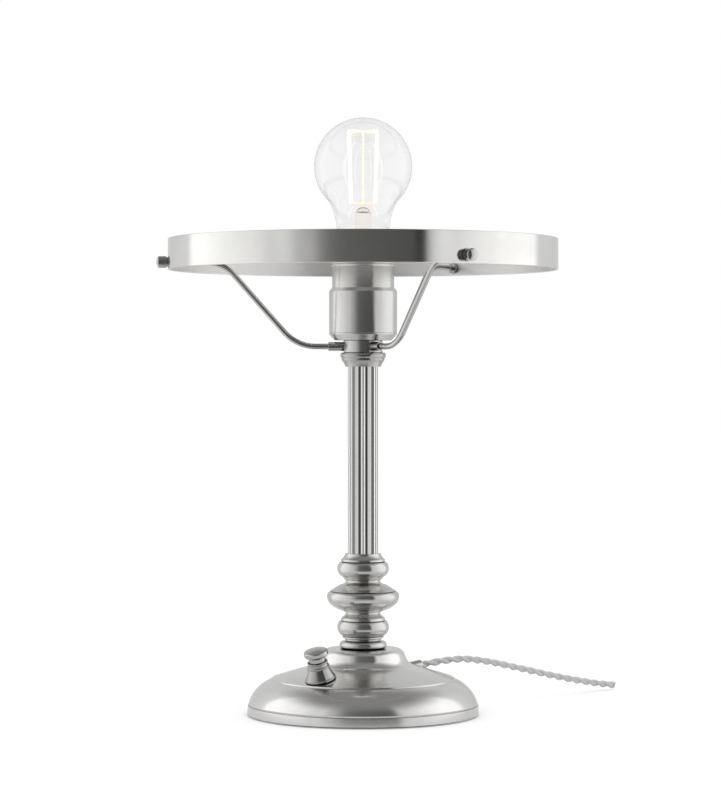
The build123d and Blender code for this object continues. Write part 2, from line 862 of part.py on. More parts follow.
def make_switch_housing():
    bore = button_neck_radius + moving_gap
    bush = switch_bush_radius + slip_gap
    rim = switch_rim_radius
    waist = switch_waist_radius
    mouth = switch_mouth_radius
    waist_bead = switch_waist_height - switch_bead
    mouth_bead = switch_height - switch_bead
    return switch_frame * turned([
        (bush, 0), (rim - 0.6, 0), (rim, 0.5), (rim, switch_rim_height - 0.4), (rim - 0.5, switch_rim_height),
        ((waist + switch_flare, switch_waist_height - switch_flare_drop), (waist, waist_bead)),
        (waist + 0.4, waist_bead + 0.3), (waist + 0.4, switch_waist_height),
        (waist - 0.2, switch_waist_height + 0.4), (mouth, mouth_bead),
        (mouth + 0.3, mouth_bead + 0.3), (mouth + 0.3, switch_height - 0.2), (mouth, switch_height),
        (bore, switch_height), (bore, switch_bore_floor), (bush, switch_bore_floor),
    ])


def make_switch_button():
    neck = button_neck_radius
    cap = button_cap_radius
    cap_z = switch_height + button_gap
    top = cap_z + button_cap_height
    neck_foot = switch_height - button_neck_depth
    stem_foot = neck_foot - button_stem_length
    return switch_frame * turned([
        (0, stem_foot), (button_stem_radius, stem_foot), (button_stem_radius, neck_foot), (neck, neck_foot),
        (neck, cap_z - 0.8), (neck + 0.8, cap_z), (cap - 0.4, cap_z + 0.2), (cap, cap_z + 0.8),
        (cap, top - 1.6), ((cap - 0.4, top - 1.1), (cap - 1.2, top - 0.8)), cap_arc(cap - 1.2, top - 0.8, top),
    ])


def make_switch_body():
    neck_top = switch_bore_floor - slip_gap
    flange = -shell_wall - slip_gap - switch_nut_thickness - moving_gap
    bore = button_stem_radius + running_gap
    foot = -switch_body_foot
    well = switch_height - button_neck_depth - button_stem_length - button_travel - moving_gap
    return switch_frame * turned([
        (bore, neck_top), (switch_bush_radius, neck_top), (switch_bush_radius, flange), (switch_body_radius, flange),
        (switch_body_radius, foot), (0, foot), (0, well), (bore, well),
    ])


def make_switch_nut():
    top = -shell_wall - slip_gap - moving_gap
    bush = switch_bush_radius + slip_gap
    return switch_frame * tube(switch_nut_radius, bush, switch_nut_thickness, top - switch_nut_thickness)


def make_switch_terminals():
    pin = tube(switch_terminal_radius, 0, switch_terminal_length, -switch_body_foot - switch_terminal_length)
    return [switch_frame * Pos(side * lead_spacing / 2, 0, 0) * pin for side in (-1, 1)]


def make_switch_spring():
    foot = switch_bore_floor + switch_spring_wire / 2 + slip_gap
    top = switch_height - button_neck_depth - switch_spring_wire / 2 - slip_gap
    path = Helix((top - foot) / switch_spring_turns, top - foot, switch_spring_radius)
    wire = sweep((path ^ 0) * Circle(switch_spring_wire / 2), path=path)
    return switch_frame * Pos(0, 0, foot) * wire


# Flex, its bushing and the leads inside

def cord_path():
    points = [Vector(*point) for point in cord_route]
    radii = []
    for before, here, after in zip(points, points[1:], points[2:]):
        turn = (here - before).get_angle(after - here)
        shorter = min((here - before).length, (after - here).length)
        radii.append(arc_share * shorter / tan(radians(turn / 2)))
    print("cord arc radii:", [round(radius, 1) for radius in radii])
    return FilletPolyline(*points, radius=radii)


def make_cord():
    path = cord_path()
    cord = sweep((path ^ 0) * Circle(cord_diameter / 2), path=path)
    plain = pi * (cord_diameter / 2) ** 2 * path.length
    print("cord length:", round(path.length, 1), "volume share:", round(cord.volume / plain, 4))
    return cord


def make_cord_bushing():
    start = -bushing_inner_length
    end = bushing_outer_length
    bush = turned([
        (cord_hole_radius, start), (bushing_radius, start), (bushing_radius, end - bushing_edge),
        (bushing_radius - bushing_edge, end), (cord_hole_radius, end),
    ])
    return Plane(cord_route[0], z_dir=cord_axis) * bush


def lead_pair(points, azimuth):
    """Two wires side by side along a route in radius and height, turned to an azimuth."""
    path = FilletPolyline(*[(r, 0, z) for r, z in points], radius=lead_bend)
    wire = sweep((path ^ 0) * Circle(lead_radius), path=path)
    return [Rot(0, 0, azimuth) * Pos(0, side * lead_spacing / 2, 0) * wire for side in (-1, 1)]


lead_end = terminal_block_radius + slip_gap


def make_cord_leads():
    start_r = hypot(cord_route[0][0], cord_route[0][1]) - slip_gap
    start_z = cord_route[0][2]
    return lead_pair([
        (start_r, start_z), (cord_lead_drop, start_z - 1.4), (cord_lead_drop, lead_z), (lead_end, lead_z),
    ], cord_azimuth)


def switch_point(depth):
    """Radius and height of a point on the switch's axis, below its seat."""
    slope = radians(cone_slope)
    return (switch_seat_radius - depth * sin(slope), cone_height(switch_seat_radius) - depth * cos(slope))


def make_switch_leads():
    start = switch_point(switch_reach + slip_gap)
    corner = switch_point(switch_reach + switch_lead_drop)
    return lead_pair([start, corner, (lead_end, lead_z)], switch_azimuth)


def make_stem_wires():
    """Two wires up the tie rod, bent outwards to the holder's terminals."""
    foot = weight_bottom + terminal_block_height / 2 + slip_gap
    top = insulator_z - terminal_height / 2
    side = terminal_offset - terminal_size / 2 - slip_gap
    path = FilletPolyline((lead_spacing, 0, foot), (lead_spacing, 0, top), (side, 0, top), radius=2 * lead_radius)
    wire = sweep((path ^ 0) * Circle(lead_radius), path=path)
    return [Rot(0, 0, terminal_azimuth + turn) * wire for turn in (0, 180)]


def make_cord_clamp():
    """A saddle on the weight's hub that holds the flex's two leads."""
    reach = cord_lead_drop + lead_radius + clamp_margin - weight_hub_radius
    block = Pos(weight_hub_radius + reach / 2, 0, clamp_level) * Box(2 * reach, clamp_width, clamp_height)
    block -= Cylinder(weight_hub_radius + slip_gap, 4 * clamp_level)
    for side in (-1, 1):
        hole = Cylinder(lead_radius + slip_gap, 2 * clamp_height)
        block -= Pos(cord_lead_drop, side * lead_spacing / 2, clamp_level) * hole
    return Rot(0, 0, cord_azimuth) * block


parts = {
    "base_shell": make_base_shell(),
    "base_weight": make_base_weight(),
    "base_plate": make_base_plate(),
    "base_screws": make_base_screws(),
    "felt_pad": make_felt_pad(),
    "tie_rod": make_tie_rod(),
    "rod_washer": make_rod_washer(),
    "rod_nut": make_rod_nut(),
    "terminal_block": make_terminal_block(),
    "foot_ring": make_foot_ring(),
    "lower_knop": make_lower_knop(),
    "middle_knop": make_middle_knop(),
    "upper_knop": make_upper_knop(),
    "column": make_column(),
    "capital": make_capital(),
    "arm_hub": make_arm_hub(),
    "arm_sockets": make_arm_sockets(),
    "shade_ring": make_shade_ring(),
    "ring_lock_nuts": make_lock_nuts(),
    "holder_cap": make_holder_cap(),
    "holder_shell": make_holder_shell(),
    "holder_nut": make_holder_nut(),
    "holder_insulator": make_holder_insulator(),
    "holder_screw_shell": make_screw_shell(),
    "holder_centre_contact": make_centre_contact(),
    "holder_terminals": make_holder_terminals(),
    "bulb_tip": make_bulb_tip(),
    "bulb_button": make_bulb_button(),
    "bulb_cap": make_bulb_cap(),
    "bulb_glass": make_bulb_glass(),
    "bulb_stem": make_bulb_stem(),
    "bulb_filaments": make_bulb_filaments(),
    "bulb_supports": make_bulb_supports(),
    "switch_housing": make_switch_housing(),
    "switch_button": make_switch_button(),
    "switch_body": make_switch_body(),
    "switch_nut": make_switch_nut(),
    "switch_terminals": make_switch_terminals(),
    "switch_spring": make_switch_spring(),
    "cord": make_cord(),
    "cord_bushing": make_cord_bushing(),
    "cord_clamp": make_cord_clamp(),
    "cord_leads": make_cord_leads(),
    "switch_leads": make_switch_leads(),
    "stem_wires": make_stem_wires(),
}
for name, azimuth in zip(arm_names, arm_azimuths):
    parts[f"arm_{name}"] = make_arm(azimuth)
    parts[f"thumb_nut_{name}"] = make_thumb_nut(azimuth)

os.makedirs("parts", exist_ok=True)
for name, shape in parts.items():
    solids = shape if isinstance(shape, list) else [shape]
    export_step(Compound([solid for piece in solids for solid in piece.solids()]), f"parts/{name}.step")
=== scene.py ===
import json
from math import acos, atan2, ceil, cos, hypot, pi, radians, sin, tan

import bmesh
import bpy
from bpy.props import FloatProperty, FloatVectorProperty, IntProperty, PointerProperty
from mathutils import Matrix, Vector


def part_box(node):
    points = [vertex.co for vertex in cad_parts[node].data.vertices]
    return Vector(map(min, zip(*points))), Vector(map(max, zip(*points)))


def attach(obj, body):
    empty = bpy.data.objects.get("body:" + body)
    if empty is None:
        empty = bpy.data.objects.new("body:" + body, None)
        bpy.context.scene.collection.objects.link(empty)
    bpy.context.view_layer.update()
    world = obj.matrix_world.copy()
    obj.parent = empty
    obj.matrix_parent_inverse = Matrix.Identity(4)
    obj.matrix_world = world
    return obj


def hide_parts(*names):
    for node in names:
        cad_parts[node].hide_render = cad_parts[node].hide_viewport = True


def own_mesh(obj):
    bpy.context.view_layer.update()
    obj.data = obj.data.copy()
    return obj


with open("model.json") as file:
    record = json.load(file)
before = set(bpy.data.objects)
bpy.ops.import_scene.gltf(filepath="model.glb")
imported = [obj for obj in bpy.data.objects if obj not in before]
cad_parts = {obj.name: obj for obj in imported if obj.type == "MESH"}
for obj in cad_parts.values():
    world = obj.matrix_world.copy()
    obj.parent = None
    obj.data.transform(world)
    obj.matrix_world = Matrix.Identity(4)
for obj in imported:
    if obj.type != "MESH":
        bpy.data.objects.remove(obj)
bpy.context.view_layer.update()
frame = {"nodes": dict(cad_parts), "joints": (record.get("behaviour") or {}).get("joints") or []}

bl_info = {
    "name": "Table Lamp With Shade Ring",
    "version": (1, 0, 0),
    "blender": (4, 5, 0),
    "location": "View3D > Sidebar > Lamp",
    "description": "Builds a nickel-plated table lamp, its bulb and its twisted flex around the CAD frame",
    "category": "Add Mesh",
}

MM = 0.001
ARC_STEP = radians(6)
ARC_FEWEST_CUTS = 4
CORNER_CUTS = 3
MERGE_DISTANCE = 0.000002
SMALL_STEPS = 48
ARM_AZIMUTHS = {"left": 180.0, "front": 300.0, "back": 60.0}

# Outlines of the turned pieces, in millimetres of radius and height above each piece's foot.
# A pair of points is an arc through the first to the second.
ROD_HOLE = 5.1
BASE_SKIN = [
    (70.8, 0.8), (70.5, 6.0), (69.7, 6.0), (69.98, 7.22), ((64.66, 16.08), (55.87, 21.5)),
    (55.87, 22.3), (54.97, 22.58), (31.7, 29.74), ((28.43, 31.62), (26.3, 34.73)), (25.23, 37.43),
    ((23.57, 39.5), (21.04, 40.28)), (ROD_HOLE, 40.28),
]
FOOT_RING = [
    (ROD_HOLE, 0), (12.2, 0), ((14.5, 2.3), (12.2, 4.6)), (11.6, 4.6), (11.0, 5.2), (11.0, 6.3),
    (ROD_HOLE, 6.3),
]
LOWER_KNOP = [
    (ROD_HOLE, 0), (12.0, 0), ((12.6, 0.7), (12.0, 1.4)), (12.8, 1.4), ((15.8, 6.35), (14.6, 10.4)),
    (13.4, 10.7), (13.7, 11.0), ((13.55, 11.85), (13.1, 12.7)), ((11.5, 13.9), (10.6, 15.1)),
    (10.6, 16.3), (ROD_HOLE, 16.3),
]
MIDDLE_KNOP = [
    (ROD_HOLE, 0), (11.7, 0), (12.3, 0.4), ((16.35, 1.96), (19.8, 4.3)), ((21.5, 6.7), (22.1, 9.1)),
    ((21.84, 10.75), (20.8, 12.1)), (19.6, 12.4), (20.2, 12.7), (13.9, 16.5), ((12.2, 16.89), (11.1, 17.6)),
    (10.5, 18.2), (10.5, 19.5), (ROD_HOLE, 19.5),
]
UPPER_KNOP = [
    (ROD_HOLE, 0), (11.3, 0), (11.9, 0.6), (12.3, 1.6), ((15.8, 7.0), (14.4, 10.6)), (12.9, 10.9),
    (13.5, 11.2), (13.5, 12.4), ((11.81, 14.07), (10.9, 16.1)), (ROD_HOLE, 16.1),
]
CAPITAL = [
    (ROD_HOLE, 0), (10.8, 0), ((11.85, 2.2), (12.9, 3.8)), (13.1, 3.8), (13.1, 4.4), (13.2, 5.2),
    ((14.0, 6.9), (13.6, 8.2)), (13.2, 8.6), (ROD_HOLE, 8.6),
]
ARM_COLLAR = [(ROD_HOLE, 0), (12.0, 0), (12.0, 7.5), (ROD_HOLE, 7.5)]
ARM_SLEEVE = [(1.85, 0), (2.75, 0), (2.75, 13.9), (1.85, 13.9)]
SHADE_BAND = [(117.6, 0), (119.2, 0), (119.2, 19.0), (117.6, 19.0)]
BAND_KNOB = [
    (1.83, 0), (3.0, 0), (3.0, 0.9), (3.6, 1.2), (3.6, 5.7), (3.0, 6.3), ((1.55, 6.9), (0, 7.1)),
    (0, 5.3), (1.83, 5.3),
]
HOLDER_CUP = [
    (ROD_HOLE, 0), (17.5, 0), (20.8, 3.6), (20.8, 4.4), (19.9, 4.4), (19.9, 11.1), (19.1, 11.1),
    (19.1, 4.4), (16.7, 1.2), (ROD_HOLE, 1.2),
]
HOLDER_SKIRT = [
    (20.0, 0), (20.8, 0), (20.8, 25.4), (20.3, 26.0), (19.0, 27.7), (19.0, 40.8), (19.6, 41.4),
    (19.6, 42.6), (19.0, 43.2), (18.2, 43.2), (18.2, 27.3), (20.0, 25.0),
]
BULB_SKIN = [
    (12.2, 22.95), (12.2, 26.55), ((14.75, 32.68), (16.5, 39.6)), ((17.96, 48.1), (21.21, 54.79)),
    ((27.72, 64.52), (30.0, 76.0)), ((21.21, 97.21), (0, 106.0)),
]
BULB_THREADS = 5
BULB_THREAD_PITCH = 3.63
BULB_THREAD_CREST = 13.1
BULB_THREAD_ROOT = 12.2
BULB_CAP_FOOT = [(11.1, 3.8), (BULB_THREAD_ROOT, 3.8)]
BULB_CAP_TOP = [
    (12.8, 22.75), (12.8, 26.55), (12.3, 26.55), (12.3, 22.75), (11.7, 21.95), (11.7, 5.5), (11.1, 5.4),
]
SWITCH_BELL = [
    (4.1, 0), (8.6, 0), (9.2, 0.5), (9.2, 1.4), (8.7, 1.8), ((7.2, 5.2), (6.3, 7.5)), (6.7, 7.8),
    (6.7, 8.6), (6.1, 9.0), (5.9, 10.5), (6.2, 10.8), (6.2, 11.4), (6.0, 11.6), (5.7, 11.6),
    (5.3, 11.2), (5.3, 1.6), (4.1, 1.6),
]
SWITCH_MUSHROOM = [
    (0, 3.4), (2.0, 3.4), (2.0, 8.2), (5.0, 8.2), (5.0, 14.2), (5.8, 15.0), (6.8, 15.2), (7.2, 15.8),
    (7.2, 17.7), ((6.8, 18.2), (6.0, 18.5)), ((3.03, 19.1), (0, 19.3)),
]
SWITCH_SEAT = Vector((-25.43, -37.7, 25.5)) * MM
CORD_FERRULE = [(2.35, -2.0), (3.45, -2.0), (3.45, 5.2), (2.95, 5.7), (2.35, 5.7)]
CORD_ROUTE = [
    (0.0310, 0.0163, 0.0272), (0.0550, 0.0300, 0.0312), (0.0760, 0.0500, 0.0275), (0.1000, 0.0740, 0.0199),
    (0.1283, 0.0980, 0.0113), (0.1444, 0.1120, 0.0071), (0.1550, 0.1220, 0.0045), (0.1657, 0.1310, 0.0026),
]

# Nickel: the grain of its marks a metre, tarnish with painted shade in grooves and where pieces meet,
# the painted shade outwards from the depth of a flute, and the duller inside of a band.
MARK_GRAIN = {"turned": 2600, "drawn": 1200, "plain": 2200}
DRAWN_STRETCH = (1, 1, 0.02)
GROOVE_REACH = 0.0018
GROOVE_TARNISH_AND_SHADE = 0.92
FLUTE_PAINTED_SHADE = 0.75
FLUTE_PAINTED_SHADE_FROM = 0.00002
FLUTE_PAINTED_SHADE_TO = 0.00014
INSIDE_DULLNESS = 0.26
INSIDE_EDGE = 0.0002
FILAMENT_WARMTH = (1.0, 0.92, 0.8)

# Worked finishes: light and dark colour, metallic, roughness, grain a metre and relief in metres.
WORKED = {
    "rolled aluminium": ((0.78, 0.78, 0.77), (0.6, 0.6, 0.59), 1.0, 0.3, 900, 0.00005),
    "spring wire": ((0.52, 0.52, 0.53), (0.38, 0.38, 0.39), 1.0, 0.25, 2000, 0.00003),
    "cast iron": ((0.17, 0.165, 0.16), (0.09, 0.085, 0.08), 0.8, 0.62, 700, 0.0002),
    "zinc steel": ((0.6, 0.61, 0.62), (0.45, 0.46, 0.47), 1.0, 0.34, 900, 0.00005),
    "green felt": ((0.12, 0.2, 0.15), (0.06, 0.12, 0.09), 0.0, 0.95, 2600, 0.0004),
    "machined brass": ((0.76, 0.58, 0.27), (0.6, 0.43, 0.17), 1.0, 0.28, 1200, 0.00004),
    "glazed porcelain": ((0.88, 0.87, 0.83), (0.8, 0.78, 0.73), 0.0, 0.16, 260, 0.00008),
    "dull solder": ((0.6, 0.6, 0.6), (0.42, 0.42, 0.42), 1.0, 0.42, 1500, 0.0001),
    "black glass": ((0.04, 0.04, 0.04), (0.02, 0.02, 0.02), 0.0, 0.1, 500, 0.00005),
    "brown bakelite": ((0.07, 0.05, 0.04), (0.035, 0.025, 0.02), 0.0, 0.3, 600, 0.00006),
    "lead sleeve": ((0.72, 0.71, 0.68), (0.56, 0.55, 0.52), 0.0, 0.55, 1600, 0.00008),
}


# Sizes and colours

def length_property(name, description, default):
    """A property that holds a length in metres."""
    return FloatProperty(
        name=name, description=description, default=default, unit="LENGTH", subtype="DISTANCE")


def colour_property(name, description, default, brightest=1.0):
    """A property that holds a colour."""
    return FloatVectorProperty(
        name=name, description=description, default=default, subtype="COLOR", min=0, max=brightest)


class LampSizes(bpy.types.PropertyGroup):
    """Sizes of the lamp that a user may change."""

    turning_steps: IntProperty(
        name="Turning steps", description="Flats round a turned piece", default=128, min=24, max=512)
    shell_wall: length_property("Shell wall", "Thickness of the spun base", 0.0012)
    edge_rounding: length_property("Edge rounding", "Radius left on an edge by polishing", 0.00022)
    column_radius: length_property(
        "Column radius", "Radius over the lands of the column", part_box("column")[1].x)
    column_bore: length_property("Column bore", "Radius of the hole up the column", 0.0066)
    flute_count: IntProperty(
        name="Flutes", description="Flutes round the column", default=16, min=6, max=48)
    flute_radius: length_property("Flute radius", "Radius of a flute's hollow", 0.0023)
    flute_offset: length_property(
        "Flute offset", "From the lands out to the middle of a flute's round", 0.0016)
    arm_radius: length_property("Arm radius", "Radius of the bent arms", 0.00175)
    glass_wall: length_property("Glass wall", "Thickness of the bulb's glass", 0.0008)
    cord_diameter: length_property("Flex diameter", "Diameter over both strands", 0.0045)
    cord_length: length_property("Flex length", "Length of the flex", 0.18)
    strand_lay: length_property("Lay", "Length of one full twist of the flex", 0.017)


class LampFinishes(bpy.types.PropertyGroup):
    """Colours of the lamp's finishes."""

    nickel: colour_property("Nickel", "Polished nickel plate", (0.72, 0.715, 0.7))
    # Dark colour for tarnish and dirt spots, and for the painted shade in grooves and flutes.
    tarnish_and_shade: colour_property("Tarnish", "Nickel in the grooves", (0.05, 0.048, 0.046))
    glass: colour_property("Glass", "Clear glass of the bulb", (0.945, 0.945, 0.945))
    filament: colour_property("Filament", "Light of the filaments", (1.0, 0.93, 0.8))
    textile: colour_property("Textile", "Yarn of the flex's sleeve", (0.9, 0.895, 0.88))
    # Painted shade: the darker colour that the sleeve takes in the hollows between the plaits.
    textile_shade: colour_property("Textile shade", "Yarn between the plaits", (0.6, 0.595, 0.585))


class LampStudio(bpy.types.PropertyGroup):
    """Camera, floor and light."""

    camera_distance: length_property("Camera distance", "From the stem to the camera", 1.6524)
    camera_height: length_property("Camera height", "Above the floor", 0.2093)
    camera_lens: FloatProperty(name="Lens", description="Focal length in millimetres", default=121.5)
    floor_size: length_property("Floor", "Side of the floor", 12.0)
    floor_colour: colour_property("Floor colour", "Pale floor", (0.8, 0.8, 0.8))
    floor_glow: FloatProperty(
        name="Floor white", description="White added to the floor's own colour", default=0.26)
    mirrored_reach: length_property(
        "Reach in metal", "Distance from the lamp within which the metal shows the floor", 0.12)
    overhead: colour_property(
        "Overhead", "What the metal shows of the studio's ceiling", (0.28, 0.28, 0.28), brightest=2.0)
    side_light: FloatProperty(name="Side light", description="Soft light from the sides", default=0.8)
    top_light: FloatProperty(name="Top light", description="Soft light from above", default=1.15)


# Modelling

def verts_in(geometry):
    return [item for item in geometry if isinstance(item, bmesh.types.BMVert)]


def face_outwards(bm):
    bmesh.ops.recalc_face_normals(bm, faces=bm.faces[:])


def edges_of(verts):
    """The edges at some vertices, each once."""
    return list(dict.fromkeys(edge for vertex in verts for edge in vertex.link_edges))


def edges_between(verts):
    """The edges that have both ends among some vertices."""
    ends = set(verts)
    return [edge for edge in edges_of(verts) if set(edge.verts) <= ends]


def arc_turn(start, through, end):
    """The centre of the circle through three points, and the turn along it from the first to the last."""
    (ax, az), (bx, bz), (cx, cz) = start, through, end
    a, b, c = ax * ax + az * az, bx * bx + bz * bz, cx * cx + cz * cz
    double = 2 * (ax * (bz - cz) + bx * (cz - az) + cx * (az - bz))
    x = (a * (bz - cz) + b * (cz - az) + c * (az - bz)) / double
    z = (a * (cx - bx) + b * (ax - cx) + c * (bx - ax)) / double
    turn = atan2(cz - z, cx - x) - atan2(az - z, ax - x)
    if double > 0:
        return (x, z), turn % (2 * pi)
    return (x, z), -((-turn) % (2 * pi))


def draw_outline(bm, steps, rounding, closed):
    """Draw an outline in radius and height with runs and arcs, and round its corners."""
    here = steps[0]
    first = last = bm.verts.new((here[0] * MM, 0, here[1] * MM))
    corners = [first] if closed else []
    for step in steps[1:]:
        if isinstance(step[0], tuple):
            (x, z), turn = arc_turn(here, *step)
            cuts = max(ARC_FEWEST_CUTS, ceil(abs(turn) / ARC_STEP))
            made = bmesh.ops.spin(
                bm, geom=[last], cent=(x * MM, 0, z * MM), axis=(0, -1, 0), angle=turn, steps=cuts)
            last = verts_in(made["geom_last"])[0]
            here = step[1]
        else:
            last = bmesh.ops.extrude_vert_indiv(bm, verts=[last])["verts"][0]
            here = step
        last.co = (here[0] * MM, 0, here[1] * MM)
        corners.append(last)
    if closed:
        bm.edges.new((last, first))
    else:
        corners.pop()
    if rounding:
        off_axis = [corner for corner in corners if corner.co.x > MM]
        bmesh.ops.bevel(
            bm, geom=off_axis, offset=rounding, offset_type="OFFSET", affect="VERTICES",
            segments=CORNER_CUTS, profile=0.5, clamp_overlap=True, material=-1)


def turn_outline(bm, turning_steps):
    """Spin everything drawn in the plane of radius and height into a closed turned form."""
    bmesh.ops.spin(
        bm, geom=bm.verts[:] + bm.edges[:], cent=(0, 0, 0), axis=(0, 0, 1), angle=2 * pi,
        steps=turning_steps, use_merge=True)
    bmesh.ops.remove_doubles(bm, verts=bm.verts[:], dist=MERGE_DISTANCE)
    face_outwards(bm)


def turned(steps, z=0.0, rounding=None, closed=True, turning_steps=None):
    """A turned form from its outline, lifted to a height in metres."""
    sizes = bpy.context.scene.lamp_sizes
    bm = bmesh.new()
    draw_outline(bm, steps, sizes.edge_rounding if rounding is None else rounding, closed)
    turn_outline(bm, turning_steps or sizes.turning_steps)
    bmesh.ops.translate(bm, verts=bm.verts[:], vec=(0, 0, z))
    return bm


def bore_through(bm, radius):
    """Fill the flat form between the outline drawn so far and a round hole."""
    outside = bm.edges[:]
    hole = bmesh.ops.create_circle(bm, segments=len(outside), radius=radius)["verts"]
    bmesh.ops.bridge_loops(bm, edges=outside + edges_of(hole))


def draw_up(bm, height):
    """Draw a flat form up to its height."""
    made = bmesh.ops.extrude_face_region(bm, geom=bm.faces[:])
    bmesh.ops.translate(bm, verts=verts_in(made["geom"]), vec=(0, 0, height))
    face_outwards(bm)


def place(bm, matrix):
    """Move a form that was made upright at the origin to where it belongs."""
    bmesh.ops.transform(bm, matrix=matrix, verts=bm.verts[:])


def standing_place(point, direction):
    """The place of a form whose own height points in a direction."""
    return Matrix.Translation(point) @ direction.to_track_quat("Z", "Y").to_matrix().to_4x4()


def radial_place(azimuth, radius, z):
    """The place of a form whose own height points straight out from the stem."""
    turn = Matrix.Rotation(radians(azimuth), 4, "Z")
    return turn @ Matrix.Translation((radius, 0, z)) @ Matrix.Rotation(pi / 2, 4, "Y")


def repeat_round(bm):
    """Copy a form from the first arm to the others."""
    copies = len(ARM_AZIMUTHS) - 1
    bmesh.ops.spin(
        bm, geom=bm.verts[:] + bm.edges[:] + bm.faces[:], cent=(0, 0, 0), axis=(0, 0, 1),
        angle=2 * pi * copies / len(ARM_AZIMUTHS), steps=copies, use_duplicate=True)


def seat_piece(bm, name, material, stands_for, body="lamp", sharp_angle=38):
    """Turn a finished form into a piece of the lamp that rides on a body and stands for CAD nodes."""
    mesh = bpy.data.meshes.new(name)
    bm.to_mesh(mesh)
    bm.free()
    mesh.shade_smooth()
    mesh.set_sharp_from_angle(angle=radians(sharp_angle))
    mesh.materials.append(material)
    piece = bpy.data.objects.new(name, mesh)
    bpy.context.scene.collection.objects.link(piece)
    weighted = piece.modifiers.new("even faces", "WEIGHTED_NORMAL")
    weighted.keep_sharp = True
    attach(piece, body)
    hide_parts(*stands_for)
    return piece


def foot_of(node):
    """The height of a CAD node's lowest point."""
    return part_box(node)[0].z


# Finishes

def set_inputs(tree, node, inputs):
    """Set each of a shader node's inputs, or link it to a socket."""
    for key, value in inputs.items():
        if isinstance(value, bpy.types.NodeSocket):
            tree.links.new(value, node.inputs[key])
        else:
            node.inputs[key].default_value = value


def add_node(tree, kind, inputs, **settings):
    """Add a shader node with its settings and its inputs."""
    made = tree.nodes.new(kind)
    for key, value in settings.items():
        setattr(made, key, value)
    set_inputs(tree, made, inputs)
    return made


def rgba(colour):
    return (colour[0], colour[1], colour[2], 1.0)


def start_finish(name):
    """A new material with its shader and its Object coordinates."""
    material = bpy.data.materials.new(name)
    material.use_nodes = True
    tree = material.node_tree
    tree.nodes.clear()
    shader = tree.nodes.new("ShaderNodeBsdfPrincipled")
    add_node(tree, "ShaderNodeOutputMaterial", {"Surface": shader.outputs[0]})
    coords = tree.nodes.new("ShaderNodeTexCoord").outputs["Object"]
    return material, tree, shader, coords


def noise(tree, coords, scale, detail=3.0, roughness=0.5):
    return add_node(
        tree, "ShaderNodeTexNoise",
        {"Vector": coords, "Scale": scale, "Detail": detail, "Roughness": roughness}).outputs[0]


def spread(tree, value, low, high, to_low, to_high):
    """Map a value from one span to another."""
    return add_node(
        tree, "ShaderNodeMapRange",
        {"Value": value, "From Min": low, "From Max": high, "To Min": to_low, "To Max": to_high}).outputs[0]


def mix_colours(tree, factor, first, second):
    return add_node(tree, "ShaderNodeMix", {0: factor, 6: first, 7: second}, data_type="RGBA").outputs[2]


def combine(tree, operation, first, second):
    return add_node(tree, "ShaderNodeMath", {0: first, 1: second}, operation=operation).outputs[0]


def relief(tree, shader, height, strength, depth):
    """Raise and sink a finish by a height, at most as deep as a length in metres."""
    bump = add_node(tree, "ShaderNodeBump", {"Strength": strength, "Distance": depth, "Height": height})
    tree.links.new(bump.outputs[0], shader.inputs["Normal"])


def stem_radius(tree, coords):
    """The distance from the stem's middle line."""
    parts = add_node(tree, "ShaderNodeSeparateXYZ", {0: coords}).outputs
    flat = add_node(tree, "ShaderNodeCombineXYZ", {0: parts[0], 1: parts[1]}).outputs[0]
    return add_node(tree, "ShaderNodeVectorMath", {0: flat}, operation="LENGTH").outputs["Value"]


def turning_coords(tree, coords):
    """Radius and height in place of X and Z, so that a pattern runs in rings round the stem."""
    height = add_node(tree, "ShaderNodeSeparateXYZ", {0: coords}).outputs[2]
    return add_node(tree, "ShaderNodeCombineXYZ", {0: stem_radius(tree, coords), 2: height}).outputs[0]


